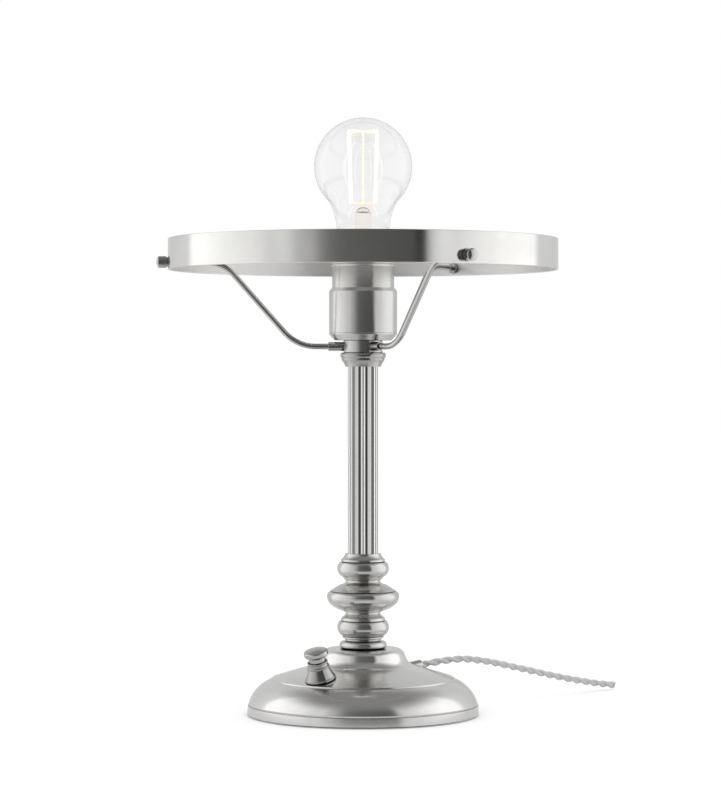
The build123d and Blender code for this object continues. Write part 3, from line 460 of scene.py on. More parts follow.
def nickel_finish(name, marks, dull=0.0, dimming=0.0, dull_within=0.0):
    """Polished nickel: cloudy plating, fine polishing marks, and tarnish with painted shade in grooves and
    flutes.
    """
    finishes = bpy.context.scene.lamp_finishes
    material, tree, shader, coords = start_finish(name)
    marked = coords
    if marks == "turned":
        marked = turning_coords(tree, coords)
    elif marks == "drawn":
        marked = add_node(tree, "ShaderNodeMapping", {"Vector": coords, "Scale": DRAWN_STRETCH}).outputs[0]
    lines = noise(tree, marked, MARK_GRAIN[marks], 2)
    cloud = noise(tree, coords, 38, 4, 0.6)
    specks = noise(tree, coords, 650, 3, 0.6)
    if marks == "drawn":
        sizes = bpy.context.scene.lamp_sizes
        hollow = sizes.column_radius + sizes.flute_offset - sizes.flute_radius
        # Painted shade: the colour darkens towards the bottom of each flute.
        tarnish_and_shade = spread(
            tree, stem_radius(tree, coords), hollow + FLUTE_PAINTED_SHADE_FROM, hollow + FLUTE_PAINTED_SHADE_TO,
            FLUTE_PAINTED_SHADE, 0.0)
    else:
        # Painted shade, partly tarnish: the colour darkens in grooves and where pieces meet.
        groove = add_node(tree, "ShaderNodeAmbientOcclusion", {"Distance": GROOVE_REACH}, samples=8)
        tarnish_and_shade = spread(tree, groove.outputs["AO"], 0.3, 0.88, GROOVE_TARNISH_AND_SHADE, 0.0)
    spotted = combine(tree, "MAXIMUM", tarnish_and_shade, spread(tree, specks, 0.68, 0.8, 0.0, 0.2))
    # Darkens the plating all over by a share set to each piece's tone; partly painted shade.
    clouded = combine(tree, "MAXIMUM", spotted, spread(tree, cloud, 0.35, 0.75, dimming, dimming + 0.09))
    # The dark colour goes where there are tarnish, spots and painted shade.
    colour = mix_colours(tree, clouded, rgba(finishes.nickel), rgba(finishes.tarnish_and_shade))
    soft = combine(
        tree, "ADD", spread(tree, cloud, 0.3, 0.7, 0.06 + dull, 0.12 + dull),
        spread(tree, lines, 0.3, 0.7, 0.0, 0.05))
    if dull_within:
        inside = spread(
            tree, stem_radius(tree, coords), dull_within - INSIDE_EDGE, dull_within, INSIDE_DULLNESS, 0.0)
        soft = combine(tree, "ADD", soft, inside)
    set_inputs(tree, shader, {"Base Color": colour, "Roughness": soft, "Metallic": 1.0})
    height = combine(tree, "ADD", lines, spread(tree, specks, 0.6, 0.8, 0.0, -0.6))
    relief(tree, shader, height, strength=0.012, depth=0.0001)
    return material


def glass_finish(name, colour, dust_roughness):
    """Clear glass with the faint waves of blowing, and dust that dims its gloss."""
    material, tree, shader, coords = start_finish(name)
    waves = noise(tree, coords, 25, 1)
    dust = noise(tree, coords, 900, 4, 0.7)
    set_inputs(tree, shader, {
        "Base Color": rgba(colour),
        "Roughness": spread(tree, dust, 0.55, 0.8, 0.0, dust_roughness),
        "Transmission Weight": 1.0,
        "IOR": 1.46,
    })
    relief(tree, shader, waves, strength=0.012, depth=0.0003)
    return material


def filament_finish(name, glow_strength):
    """Lit filament: a row of bright points under a warm coat."""
    finishes = bpy.context.scene.lamp_finishes
    material, tree, shader, coords = start_finish(name)
    beads = add_node(
        tree, "ShaderNodeTexWave", {"Vector": coords, "Scale": 130.0, "Distortion": 0.4},
        wave_type="BANDS", bands_direction="Z").outputs["Fac"]
    warm = [channel * share for channel, share in zip(finishes.filament, FILAMENT_WARMTH)]
    glow = mix_colours(tree, beads, rgba(warm), rgba(finishes.filament))
    set_inputs(tree, shader, {
        "Base Color": glow,
        "Roughness": spread(tree, beads, 0.0, 1.0, 0.35, 0.5),
        "Emission Color": glow,
        "Emission Strength": glow_strength,
    })
    relief(tree, shader, beads, strength=0.2, depth=0.0002)
    return material


def sleeve_finish(name):
    """Plaited textile sleeve of the flex, on the strand's own UV map."""
    finishes = bpy.context.scene.lamp_finishes
    material, tree, shader, coords = start_finish(name)
    sleeve = add_node(tree, "ShaderNodeUVMap", {}, uv_map="sleeve").outputs[0]
    plaits = []
    for lean in (radians(45), radians(-45)):
        leaning = add_node(tree, "ShaderNodeMapping", {"Vector": sleeve, "Rotation": (0, 0, lean)})
        plaits.append(add_node(
            tree, "ShaderNodeTexWave",
            {"Vector": leaning.outputs[0], "Scale": 1.9, "Distortion": 0.3, "Detail": 1.0},
            wave_type="BANDS", bands_direction="X").outputs["Fac"])
    plait = combine(tree, "MULTIPLY", *plaits)
    fluff = noise(tree, coords, 3500, 3, 0.7)
    height = combine(tree, "ADD", plait, spread(tree, fluff, 0.2, 0.8, -0.25, 0.25))
    raised = spread(tree, height, 0.05, 0.75, 0.0, 1.0)
    set_inputs(tree, shader, {
        # Painted shade: the low parts of the plaited pattern take the darker colour.
        "Base Color": mix_colours(tree, raised, rgba(finishes.textile_shade), rgba(finishes.textile)),
        "Roughness": spread(tree, fluff, 0.2, 0.8, 0.75, 0.95),
        "Sheen Weight": 0.25,
    })
    relief(tree, shader, height, strength=0.6, depth=0.0002)
    return material


def worked_finish(name):
    """A plain finish with its grain: colour, gloss and relief all vary with it."""
    light, dark, metallic, roughness, grain, depth = WORKED[name]
    material, tree, shader, coords = start_finish(name)
    fine = noise(tree, coords, grain, 4, 0.6)
    broad = noise(tree, coords, grain / 14, 3)
    both = combine(tree, "MULTIPLY", fine, broad)
    set_inputs(tree, shader, {
        "Base Color": mix_colours(tree, spread(tree, both, 0.12, 0.42, 0.0, 1.0), rgba(dark), rgba(light)),
        "Roughness": spread(tree, broad, 0.25, 0.75, roughness * 0.8, min(1.0, roughness * 1.25)),
        "Metallic": metallic,
    })
    relief(tree, shader, fine, strength=0.3, depth=depth)
    return material


# Operators

class LAMP_OT_studio(bpy.types.Operator):
    """Make the camera, the floor and the studio light"""

    bl_idname = "lamp.studio"
    bl_label = "Studio"

    sensor_width = 36.0
    lens_shift = (-0.00325, -0.035)
    farthest_seen = 50.0
    floor_drop = 0.0002
    floor_shade = 0.98
    mirrored_fade = 2.5
    ceiling_from = 0.56
    ceiling_to = 0.92
    # Brightness round the lamp, by the angle from the camera towards the right, in degrees.
    walls = [
        (-180, 0.68), (-150, 0.74), (-124, 0.88), (-118, 1.45), (-108, 1.42), (-95, 1.33), (-85, 1.26),
        (-74, 1.13), (-64, 1.05), (-55, 0.86), (-46, 0.9), (-38, 0.62), (-29, 0.5), (-24, 0.3), (-19, 0.2),
        (-12, 0.15), (0, 0.13), (29, 0.1), (32, 0.03), (35.5, 0.06), (38, 0.52), (42, 0.85), (47, 0.98),
        (56, 0.93), (66, 1.1), (76, 1.22), (88, 1.36), (119, 1.42), (124, 0.86), (150, 0.73), (180, 0.68),
    ]

    def execute(self, context):
        studio = context.scene.lamp_studio
        self.make_camera(context, studio)
        self.make_floor(context, studio)
        self.make_light(context, studio)
        context.scene.view_settings.view_transform = "Standard"
        return {"FINISHED"}

    def make_camera(self, context, studio):
        lens = bpy.data.cameras.new("photo camera")
        lens.lens = studio.camera_lens
        lens.sensor_width = self.sensor_width
        lens.shift_x, lens.shift_y = self.lens_shift
        lens.clip_end = self.farthest_seen
        camera = bpy.data.objects.new("photo camera", lens)
        camera.location = (0, -studio.camera_distance, studio.camera_height)
        camera.rotation_euler = (pi / 2, 0, 0)
        context.scene.collection.objects.link(camera)
        context.scene.camera = camera

    def make_floor(self, context, studio):
        """A pale floor that the metal shows only near the lamp."""
        bm = bmesh.new()
        bmesh.ops.create_grid(bm, x_segments=4, y_segments=4, size=studio.floor_size / 2)
        mesh = bpy.data.meshes.new("floor")
        bm.to_mesh(mesh)
        bm.free()
        floor = bpy.data.objects.new("floor", mesh)
        floor.location.z = -self.floor_drop
        context.scene.collection.objects.link(floor)
        material, tree, shader, coords = start_finish("pale floor")
        grain = noise(tree, coords, 30, 3)
        shade = [channel * self.floor_shade for channel in studio.floor_colour]
        set_inputs(tree, shader, {
            "Base Color": mix_colours(tree, grain, rgba(studio.floor_colour), rgba(shade)),
            "Roughness": 1.0,
            "Specular IOR Level": 0.0,
            "Emission Color": (1, 1, 1, 1),
            "Emission Strength": spread(tree, self.clear_rays(tree), 0.0, 1.0, 0.0, studio.floor_glow),
        })
        distance = add_node(tree, "ShaderNodeVectorMath", {0: coords}, operation="LENGTH").outputs["Value"]
        reach = studio.mirrored_reach
        far = spread(tree, distance, reach, self.mirrored_fade * reach, 0.0, 1.0)
        path = tree.nodes.new("ShaderNodeLightPath").outputs
        hidden = combine(tree, "MULTIPLY", path["Is Glossy Ray"], far)
        clear = tree.nodes.new("ShaderNodeBsdfTransparent").outputs[0]
        surface = add_node(tree, "ShaderNodeMixShader", {0: hidden, 1: shader.outputs[0], 2: clear})
        output = next(node for node in tree.nodes if node.type == "OUTPUT_MATERIAL")
        tree.links.new(surface.outputs[0], output.inputs["Surface"])
        mesh.materials.append(material)

    def clear_rays(self, tree):
        """1 for the rays that see the background straight or through glass."""
        path = tree.nodes.new("ShaderNodeLightPath").outputs
        return combine(tree, "MAXIMUM", path["Is Camera Ray"], path["Is Transmission Ray"])

    def make_light(self, context, studio):
        """Soft light on everything, and the studio's walls and ceiling in what the metal shows."""
        world = bpy.data.worlds.new("studio")
        context.scene.world = world
        world.use_nodes = True
        tree = world.node_tree
        tree.nodes.clear()
        direction = tree.nodes.new("ShaderNodeTexCoord").outputs["Generated"]
        parts = add_node(tree, "ShaderNodeSeparateXYZ", {0: direction}).outputs
        towards_camera = combine(tree, "MULTIPLY", parts[1], -1.0)
        angle = combine(tree, "ARCTAN2", parts[0], towards_camera)
        ramp = add_node(tree, "ShaderNodeValToRGB", {0: spread(tree, angle, -pi, pi, 0.0, 1.0)})
        stops = ramp.color_ramp.elements
        stops.remove(stops[1])
        for degrees, level in self.walls:
            stop = stops[0] if degrees == -180 else stops.new((degrees + 180) / 360)
            stop.color = (level, level, level, 1)
        rise = add_node(
            tree, "ShaderNodeMapRange",
            {"Value": parts[2], "From Min": self.ceiling_from, "From Max": self.ceiling_to},
            interpolation_type="SMOOTHSTEP").outputs[0]
        mirrored = mix_colours(tree, rise, ramp.outputs[0], rgba(studio.overhead))
        soft = spread(tree, parts[2], 0.0, 1.0, studio.side_light, studio.top_light)
        path = tree.nodes.new("ShaderNodeLightPath").outputs
        studio_light = mix_colours(tree, path["Is Glossy Ray"], soft, mirrored)
        seen = mix_colours(tree, self.clear_rays(tree), studio_light, (1, 1, 1, 1))
        background = add_node(tree, "ShaderNodeBackground", {"Color": seen, "Strength": 1.0})
        add_node(tree, "ShaderNodeOutputWorld", {"Surface": background.outputs[0]})


class LAMP_OT_flex(bpy.types.Operator):
    """Make the twisted textile flex along its route"""

    bl_idname = "lamp.flex"
    bl_label = "Flex"

    route_cuts = 48
    # Shares of the flex's diameter: from its middle line to a strand's, and a strand's radius.
    strand_reach = 0.22
    strand_radius = 0.28
    strand_sides = 14
    # The sleeve's pattern once round a strand, in millimetres.
    sleeve_round = 7.0

    def execute(self, context):
        sizes = context.scene.lamp_sizes
        line = self.route_line(context)
        if len(line) < len(CORD_ROUTE):
            raise RuntimeError("the flex has no centreline")
        bm = bmesh.new()
        along = bm.verts.layers.float.new("along")
        round_strand = bm.verts.layers.int.new("round")
        for half_turn in (0, pi):
            self.lay_strand(bm, line, sizes, half_turn, along, round_strand)
        self.map_sleeve(bm, along, round_strand)
        face_outwards(bm)
        flex = seat_piece(bm, "twisted_flex", sleeve_finish("textile sleeve"), ["cord"])
        return {"FINISHED"}

    def route_line(self, context):
        """Points of the smooth line that has the route's points as its control points."""
        curve = bpy.data.curves.new("flex route", "CURVE")
        curve.dimensions = "3D"
        spline = curve.splines.new("NURBS")
        spline.points.add(len(CORD_ROUTE) - 1)
        for point, spot in zip(spline.points, CORD_ROUTE):
            point.co = (*spot, 1.0)
        spline.order_u = 3
        spline.use_endpoint_u = True
        spline.resolution_u = self.route_cuts
        holder = bpy.data.objects.new("flex route", curve)
        context.scene.collection.objects.link(holder)
        context.view_layer.update()
        evaluated = holder.evaluated_get(context.evaluated_depsgraph_get())
        mesh = bpy.data.meshes.new_from_object(evaluated)
        line = [vertex.co.copy() for vertex in mesh.vertices]
        bpy.data.meshes.remove(mesh)
        bpy.data.objects.remove(holder)
        bpy.data.curves.remove(curve)
        return line

    def heading_at(self, points, i):
        """The direction of a line of points at one of them."""
        return (points[min(i + 1, len(points) - 1)] - points[max(i - 1, 0)]).normalized()

    def lay_strand(self, bm, line, sizes, half_turn, along, round_strand):
        """Wind one strand round the line, ring by ring, and close its ends."""
        length = 0.0
        side = Vector((0, 0, 1))
        centres = []
        lengths = []
        for i, point in enumerate(line):
            heading = self.heading_at(line, i)
            length += (point - line[i - 1]).length if i else 0.0
            side = (side - heading * side.dot(heading)).normalized()
            turn = Matrix.Rotation(2 * pi * length / sizes.strand_lay + half_turn, 3, heading)
            centres.append(point + turn @ side * (sizes.cord_diameter * self.strand_reach))
            lengths.append(length)
        rings = []
        for i, centre in enumerate(centres):
            ring = bmesh.ops.create_circle(
                bm, segments=self.strand_sides, radius=sizes.cord_diameter * self.strand_radius,
                matrix=standing_place(centre, self.heading_at(centres, i)))["verts"]
            for j, vertex in enumerate(ring):
                vertex[along] = lengths[i]
                vertex[round_strand] = j
            rings.append(ring)
        for lower, upper in zip(rings, rings[1:]):
            open_edges = [edge for edge in edges_between(lower + upper) if len(edge.link_faces) < 2]
            bmesh.ops.bridge_loops(bm, edges=open_edges)
        for ring in (rings[0], rings[-1]):
            bmesh.ops.contextual_create(bm, geom=ring)

    def map_sleeve(self, bm, along, round_strand):
        """Lay the sleeve's pattern round and along each strand, in millimetres."""
        sleeve = bm.loops.layers.uv.new("sleeve")
        for face in bm.faces:
            spots = [loop.vert[round_strand] for loop in face.loops]
            wraps = max(spots) - min(spots) > 2
            for loop, spot in zip(face.loops, spots):
                if wraps and spot == 0:
                    spot = self.strand_sides
                loop[sleeve].uv = (spot / self.strand_sides * self.sleeve_round, loop.vert[along] / MM)


class LAMP_OT_base(bpy.types.Operator):
    """Make the spun base and the ferrule where the flex leaves it"""

    bl_idname = "lamp.base"
    bl_label = "Base"

    def execute(self, context):
        sizes = context.scene.lamp_sizes
        nickel = nickel_finish("spun nickel", "turned", dull=0.06)
        bm = turned(BASE_SKIN, closed=False, turning_steps=2 * sizes.turning_steps)
        outward = sum(face.normal.dot(face.calc_center_median()) * face.calc_area() for face in bm.faces)
        if outward < 0:
            bmesh.ops.reverse_faces(bm, faces=bm.faces[:])
        bmesh.ops.solidify(bm, geom=bm.faces[:], thickness=sizes.shell_wall)
        seat_piece(bm, "spun_base", nickel, ["base_shell"])
        start, onward = (Vector(point) for point in CORD_ROUTE[:2])
        bm = turned(CORD_FERRULE, turning_steps=SMALL_STEPS)
        place(bm, standing_place(start, (onward - start).normalized()))
        seat_piece(bm, "flex_ferrule", nickel_finish("ferrule nickel", "plain"), ["cord_bushing"])
        return {"FINISHED"}


class LAMP_OT_stem(bpy.types.Operator):
    """Make the turned stem with its fluted column"""

    bl_idname = "lamp.stem"
    bl_label = "Stem"

    # Each turning's name, outline, CAD node and the share by which its plating is darkened all over to its
    # tone;
    # on the arm collar this darkening is partly painted shade under the holder and band.
    turnings = [
        ("foot_bead", FOOT_RING, "foot_ring", 0.18), ("lower_ball", LOWER_KNOP, "lower_knop", 0.19),
        ("middle_ball", MIDDLE_KNOP, "middle_knop", 0.17), ("upper_ball", UPPER_KNOP, "upper_knop", 0.18),
        ("flanged_capital", CAPITAL, "capital", 0.44), ("arm_collar", ARM_COLLAR, "arm_hub", 0.3),
    ]
    flute_steps = 16
    land_steps = 3
    flute_merge = 0.00001

    def execute(self, context):
        for name, outline, node, dimming in self.turnings:
            nickel = nickel_finish(f"nickel of {name}", "turned", dull=0.08, dimming=dimming)
            seat_piece(turned(outline, foot_of(node)), name, nickel, [node])
        self.make_column(context.scene.lamp_sizes)
        return {"FINISHED"}

    def make_column(self, sizes):
        """One flute and one land, repeated round the column, bored through and drawn up to its length."""
        low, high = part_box("column")
        pitch = 2 * pi / sizes.flute_count
        radius = sizes.column_radius
        middle = radius + sizes.flute_offset
        half = acos((radius ** 2 + middle ** 2 - sizes.flute_radius ** 2) / (2 * radius * middle))
        corners = []
        for reach, turn in ((middle, pitch / 2), (radius, pitch / 2 - half), (radius, pitch / 2 + half)):
            corner = Vector((0, -reach, 0))
            corner.rotate(Matrix.Rotation(turn, 3, "Z"))
            corners.append(corner)
        flute, start, end = corners
        hollow = (start - flute).angle(end - flute)
        bm = bmesh.new()
        first = bm.verts.new(start)
        made = bmesh.ops.spin(
            bm, geom=[first], cent=flute, axis=(0, 0, -1), angle=hollow, steps=self.flute_steps)
        bmesh.ops.spin(
            bm, geom=verts_in(made["geom_last"]), cent=(0, 0, 0), axis=(0, 0, 1), angle=pitch - 2 * half,
            steps=self.land_steps)
        bmesh.ops.spin(
            bm, geom=bm.verts[:] + bm.edges[:], cent=(0, 0, 0), axis=(0, 0, 1), angle=2 * pi - pitch,
            steps=sizes.flute_count - 1, use_duplicate=True)
        bmesh.ops.remove_doubles(bm, verts=bm.verts[:], dist=self.flute_merge)
        bore_through(bm, sizes.column_bore)
        bmesh.ops.translate(bm, verts=bm.verts[:], vec=(0, 0, low.z))
        draw_up(bm, high.z - low.z)
        nickel = nickel_finish("drawn nickel", "drawn")
        seat_piece(bm, "fluted_column", nickel, ["column"], sharp_angle=45)


class LAMP_OT_arms(bpy.types.Operator):
    """Make the three bent arms and the sleeves that hold them in the collar"""

    bl_idname = "lamp.arms"
    bl_label = "Arms"

    inner_end = 0.0078
    low_corner = 0.0405
    high_corner = 0.086
    low_bend = 0.026
    high_bend = 0.0234
    bend_steps = 18
    rod_sides = 24
    sleeve_inner_end = 0.0074

    def execute(self, context):
        sizes = context.scene.lamp_sizes
        nickel = nickel_finish("arm nickel", "plain", dimming=0.38)
        low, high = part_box("arm_left")
        level = low.z + sizes.arm_radius
        rise = high.z - sizes.arm_radius - level
        outer_end = -low.x
        for side, azimuth in ARM_AZIMUTHS.items():
            bm = self.bend_rod(sizes.arm_radius, level, rise, outer_end)
            place(bm, Matrix.Rotation(radians(azimuth), 4, "Z"))
            seat_piece(bm, f"bent_arm_{side}", nickel, [f"arm_{side}"])
        bm = turned(ARM_SLEEVE, turning_steps=SMALL_STEPS)
        place(bm, radial_place(ARM_AZIMUTHS["left"], self.sleeve_inner_end, level))
        repeat_round(bm)
        seat_piece(bm, "arm_sleeves", nickel, ["arm_sockets"])
        return {"FINISHED"}

    def bend_rod(self, radius, level, rise, outer_end):
        """A rod along X that is bent up, runs straight and is bent level again."""
        bm = bmesh.new()
        loop = bmesh.ops.create_circle(
            bm, segments=self.rod_sides, radius=radius,
            matrix=radial_place(0, self.inner_end, level))["verts"]
        bmesh.ops.contextual_create(bm, geom=loop)
        slope = atan2(rise, self.high_corner - self.low_corner)
        low_run = self.low_bend * tan(slope / 2)
        high_run = self.high_bend * tan(slope / 2)
        incline = hypot(rise, self.high_corner - self.low_corner) - low_run - high_run
        bend_start = Vector((self.low_corner - low_run, 0, level))
        bend_end = Vector((self.high_corner + high_run, 0, level + rise))
        loop = self.draw_out(bm, loop, (bend_start.x - self.inner_end, 0, 0))
        loop = self.bend(bm, loop, bend_start + Vector((0, 0, self.low_bend)), -slope)
        loop = self.draw_out(bm, loop, (incline * cos(slope), 0, incline * sin(slope)))
        loop = self.bend(bm, loop, bend_end - Vector((0, 0, self.high_bend)), slope)
        loop = self.draw_out(bm, loop, (outer_end - bend_end.x, 0, 0))
        bmesh.ops.contextual_create(bm, geom=loop)
        face_outwards(bm)
        return bm

    def draw_out(self, bm, loop, run):
        end = verts_in(bmesh.ops.extrude_edge_only(bm, edges=edges_between(loop))["geom"])
        bmesh.ops.translate(bm, verts=end, vec=run)
        return end

    def bend(self, bm, loop, centre, angle):
        made = bmesh.ops.spin(
            bm, geom=loop + edges_between(loop), cent=centre, axis=(0, 1, 0), angle=angle,
            steps=self.bend_steps)
        return verts_in(made["geom_last"])


class LAMP_OT_band(bpy.types.Operator):
    """Make the band that carries the shade, with its knobs and lock nuts"""

    bl_idname = "lamp.band"
    bl_label = "Shade band"

    band_rounding = 0.00045
    knob_rounding = 0.0001
    knob_foot = 0.1194
    notches = 24
    lines_a_notch = 4
    notch_press = 0.95
    # The knob's grip, in millimetres of its outline.
    grip_foot = 1.3
    grip_top = 5.6
    grip_radius = 3.5
    nut_foot = 0.1147
    nut_width = 0.0058
    nut_height = 0.0028
    nut_clearance = 0.00005
    nut_side_cuts = 3

    def execute(self, context):
        sizes = context.scene.lamp_sizes
        low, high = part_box("thumb_nut_left")
        level = (low.z + high.z) / 2
        bm = turned(
            SHADE_BAND, foot_of("shade_ring"), rounding=self.band_rounding,
            turning_steps=2 * sizes.turning_steps)
        wall_middle = (SHADE_BAND[0][0] + SHADE_BAND[1][0]) / 2 * MM
        nickel = nickel_finish("band nickel", "turned", dull_within=wall_middle)
        seat_piece(bm, "shade_band", nickel, ["shade_ring"])
        nickel = nickel_finish("knob nickel", "plain", dimming=0.3)
        steps = self.lines_a_notch * self.notches
        for side, azimuth in ARM_AZIMUTHS.items():
            bm = turned(BAND_KNOB, rounding=self.knob_rounding, turning_steps=steps)
            self.notch_grip(bm, 2 * pi / steps)
            place(bm, radial_place(azimuth, self.knob_foot, level))
            node = f"thumb_nut_{side}"
            seat_piece(bm, f"band_knob_{side}", nickel, [node], body=node)
        bm = self.lock_nut(sizes.arm_radius + self.nut_clearance)
        place(bm, radial_place(ARM_AZIMUTHS["left"], self.nut_foot, level))
        repeat_round(bm)
        seat_piece(bm, "band_lock_nuts", nickel, ["ring_lock_nuts"])
        return {"FINISHED"}

    def notch_grip(self, bm, step):
        """Press one line in each notch of the grip inwards, so that fingers hold it."""
        foot, top, reach = self.grip_foot * MM, self.grip_top * MM, self.grip_radius * MM
        pressed = [
            vertex for vertex in bm.verts
            if foot < vertex.co.z < top and hypot(vertex.co.x, vertex.co.y) > reach
            and round(atan2(vertex.co.y, vertex.co.x) / step) % self.lines_a_notch == 0
        ]
        bmesh.ops.scale(bm, verts=pressed, vec=(self.notch_press, self.notch_press, 1.0))

    def lock_nut(self, hole_radius):
        """A hexagonal nut, whose width is taken across its flats."""
        bm = bmesh.new()
        bmesh.ops.create_circle(bm, segments=6, radius=self.nut_width / 2 / cos(radians(30)))
        bmesh.ops.subdivide_edges(bm, edges=bm.edges[:], cuts=self.nut_side_cuts)
        bore_through(bm, hole_radius)
        draw_up(bm, self.nut_height)
        return bm


class LAMP_OT_holder(bpy.types.Operator):
    """Make the lamp holder's cup and skirt"""

    bl_idname = "lamp.holder"
    bl_label = "Lamp holder"

    def execute(self, context):
        nickel = nickel_finish("holder nickel", "turned", dull=0.1, dimming=0.2)
        cup = turned(HOLDER_CUP, foot_of("holder_cap"))
        seat_piece(cup, "holder_cup", nickel, ["holder_cap"])
        skirt = turned(HOLDER_SKIRT, foot_of("holder_shell"))
        seat_piece(skirt, "holder_skirt", nickel, ["holder_shell"])
        return {"FINISHED"}


class LAMP_OT_bulb(bpy.types.Operator):
    """Make the bulb's glass and screw cap"""

    bl_idname = "lamp.bulb"
    bl_label = "Bulb"

    glass_dust = 0.02
    cap_rounding = 0.0001

    def execute(self, context):
        sizes = context.scene.lamp_sizes
        foot = foot_of("bulb_tip")
        bm = turned(BULB_SKIN, foot, rounding=0, closed=False)
        bmesh.ops.solidify(bm, geom=bm.faces[:], thickness=sizes.glass_wall)
        glass = glass_finish("clear glass", context.scene.lamp_finishes.glass, self.glass_dust)
        seat_piece(bm, "bulb_envelope", glass, ["bulb_glass"], "bulb", sharp_angle=60)
        threads = []
        for i in range(BULB_THREADS):
            z = BULB_CAP_FOOT[-1][1] + BULB_THREAD_PITCH * i
            crest = (BULB_THREAD_CREST, z + BULB_THREAD_PITCH / 2)
            threads.append((crest, (BULB_THREAD_ROOT, z + BULB_THREAD_PITCH)))
        bm = turned(BULB_CAP_FOOT + threads + BULB_CAP_TOP, foot, rounding=self.cap_rounding)
        rolled = worked_finish("rolled aluminium")
        seat_piece(bm, "bulb_screw_cap", rolled, ["bulb_cap"], "bulb")
        return {"FINISHED"}


class LAMP_OT_switch(bpy.types.Operator):
    """Make the push switch's bell, its mushroom button and its spring"""

    bl_idname = "lamp.switch"
    bl_label = "Switch"

    bell_rounding = 0.00012
    button_rounding = 0.00015
    bore_floor = 0.0016
    coil_foot = 0.00195
    coil_top = 0.00785
    coil_radius = 0.0032
    coil_wire = 0.00025
    coil_sides = 10
    coil_turns = 4
    coil_steps = 32
    coil_kept = 0.53

    def execute(self, context):
        push = next(joint for joint in frame["joints"] if joint["name"] == "switch_push")
        normal = -Vector(push["axis"]).normalized()
        seat = standing_place(SWITCH_SEAT, normal)
        steps = 2 * SMALL_STEPS
        bm = turned(SWITCH_BELL, rounding=self.bell_rounding, turning_steps=steps)
        place(bm, seat)
        nickel = nickel_finish("bell nickel", "plain", dull=0.04, dimming=0.44)
        seat_piece(bm, "switch_bell", nickel, ["switch_housing"])
        bm = turned(SWITCH_MUSHROOM, rounding=self.button_rounding, turning_steps=steps)
        place(bm, seat)
        nickel = nickel_finish("button nickel", "plain", dull=0.06, dimming=0.28)
        seat_piece(bm, "switch_mushroom", nickel, ["switch_button"], "switch_button")
        self.make_spring(seat, normal)
        return {"FINISHED"}

    def make_spring(self, seat, normal):
        """Wind the coil that lifts the button; it is made at one length and does not follow the button."""
        bm = bmesh.new()
        start = Matrix.Translation((self.coil_radius, 0, self.coil_foot))
        wire = bmesh.ops.create_circle(
            bm, segments=self.coil_sides, radius=self.coil_wire,
            matrix=start @ Matrix.Rotation(pi / 2, 4, "X"))["verts"]
        steps = self.coil_steps * self.coil_turns
        made = bmesh.ops.spin(
            bm, geom=wire + edges_of(wire), cent=(0, 0, 0), axis=(0, 0, 1), angle=2 * pi * self.coil_turns,
            dvec=(0, 0, (self.coil_top - self.coil_foot) / steps), steps=steps)
        for end in (wire, verts_in(made["geom_last"])):
            bmesh.ops.contextual_create(bm, geom=end)
        face_outwards(bm)
        place(bm, seat)
        steel = worked_finish("spring wire")
        coil = seat_piece(bm, "switch_coil", steel, ["switch_spring"])
        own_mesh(coil)


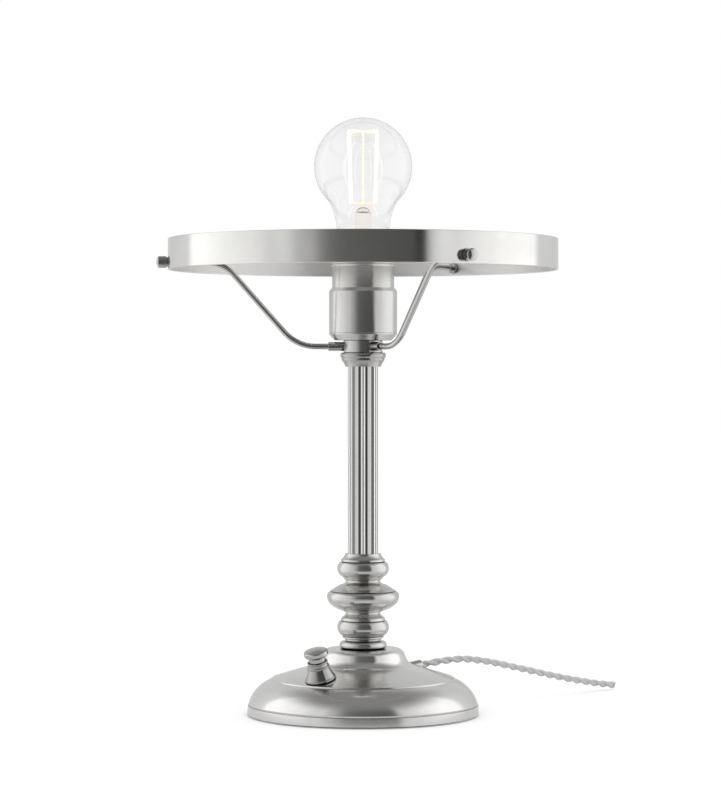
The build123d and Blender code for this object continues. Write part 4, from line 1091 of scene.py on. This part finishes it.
class LAMP_OT_inner_finishes(bpy.types.Operator):
    """Give the CAD pieces that stay their finishes"""

    bl_idname = "lamp.inner_finishes"
    bl_label = "Inner finishes"

    worked_nodes = {
        "cast iron": ["base_weight"],
        "zinc steel": ["base_plate", "base_screws", "tie_rod", "rod_washer"],
        "green felt": ["felt_pad"],
        "machined brass": [
            "rod_nut", "holder_nut", "holder_screw_shell", "holder_centre_contact", "holder_terminals",
            "switch_nut", "switch_terminals",
        ],
        "glazed porcelain": ["terminal_block", "holder_insulator"],
        "dull solder": ["bulb_tip"],
        "black glass": ["bulb_button"],
        "brown bakelite": ["switch_body", "cord_clamp"],
        "lead sleeve": ["cord_leads", "switch_leads", "stem_wires"],
    }
    mount_colour = (1.0, 0.95, 0.88)
    mount_dust = 0.05
    filament_glow = 1.5
    support_painted_glow = 0.55

    def execute(self, context):
        for name, nodes in self.worked_nodes.items():
            self.dress(worked_finish(name), nodes)
        self.dress(glass_finish("mount glass", self.mount_colour, self.mount_dust), ["bulb_stem"])
        self.dress(filament_finish("lit filament", self.filament_glow), ["bulb_filaments"])
        # Painted light: the support wires glow, though only the filaments give light.
        self.dress(filament_finish("lit support wire", self.support_painted_glow), ["bulb_supports"])
        return {"FINISHED"}

    def dress(self, material, nodes):
        for node in nodes:
            mesh = frame["nodes"][node].data
            mesh.materials.clear()
            mesh.materials.append(material)


class LAMP_PT_panel(bpy.types.Panel):
    """The lamp's sizes, finishes and making steps"""

    bl_label = "Table Lamp"
    bl_idname = "LAMP_PT_panel"
    bl_space_type = "VIEW_3D"
    bl_region_type = "UI"
    bl_category = "Lamp"

    def draw(self, context):
        layout = self.layout
        for operator in OPERATORS:
            layout.operator(operator.bl_idname)
        for group in (context.scene.lamp_sizes, context.scene.lamp_finishes, context.scene.lamp_studio):
            box = layout.box()
            for name in group.__annotations__:
                box.prop(group, name)


OPERATORS = [
    LAMP_OT_studio, LAMP_OT_flex, LAMP_OT_base, LAMP_OT_stem, LAMP_OT_arms, LAMP_OT_band, LAMP_OT_holder,
    LAMP_OT_bulb, LAMP_OT_switch, LAMP_OT_inner_finishes,
]
GROUPS = [LampSizes, LampFinishes, LampStudio]


def register():
    for made in GROUPS + OPERATORS + [LAMP_PT_panel]:
        bpy.utils.register_class(made)
    bpy.types.Scene.lamp_sizes = PointerProperty(type=LampSizes)
    bpy.types.Scene.lamp_finishes = PointerProperty(type=LampFinishes)
    bpy.types.Scene.lamp_studio = PointerProperty(type=LampStudio)


def unregister():
    del bpy.types.Scene.lamp_studio
    del bpy.types.Scene.lamp_finishes
    del bpy.types.Scene.lamp_sizes
    for made in reversed(GROUPS + OPERATORS + [LAMP_PT_panel]):
        bpy.utils.unregister_class(made)


def main():
    register()
    bpy.ops.lamp.studio()
    bpy.ops.lamp.flex()
    bpy.ops.lamp.base()
    bpy.ops.lamp.stem()
    bpy.ops.lamp.arms()
    bpy.ops.lamp.band()
    bpy.ops.lamp.holder()
    bpy.ops.lamp.bulb()
    bpy.ops.lamp.switch()
    bpy.ops.lamp.inner_finishes()


if __name__ == "__main__":
    main()
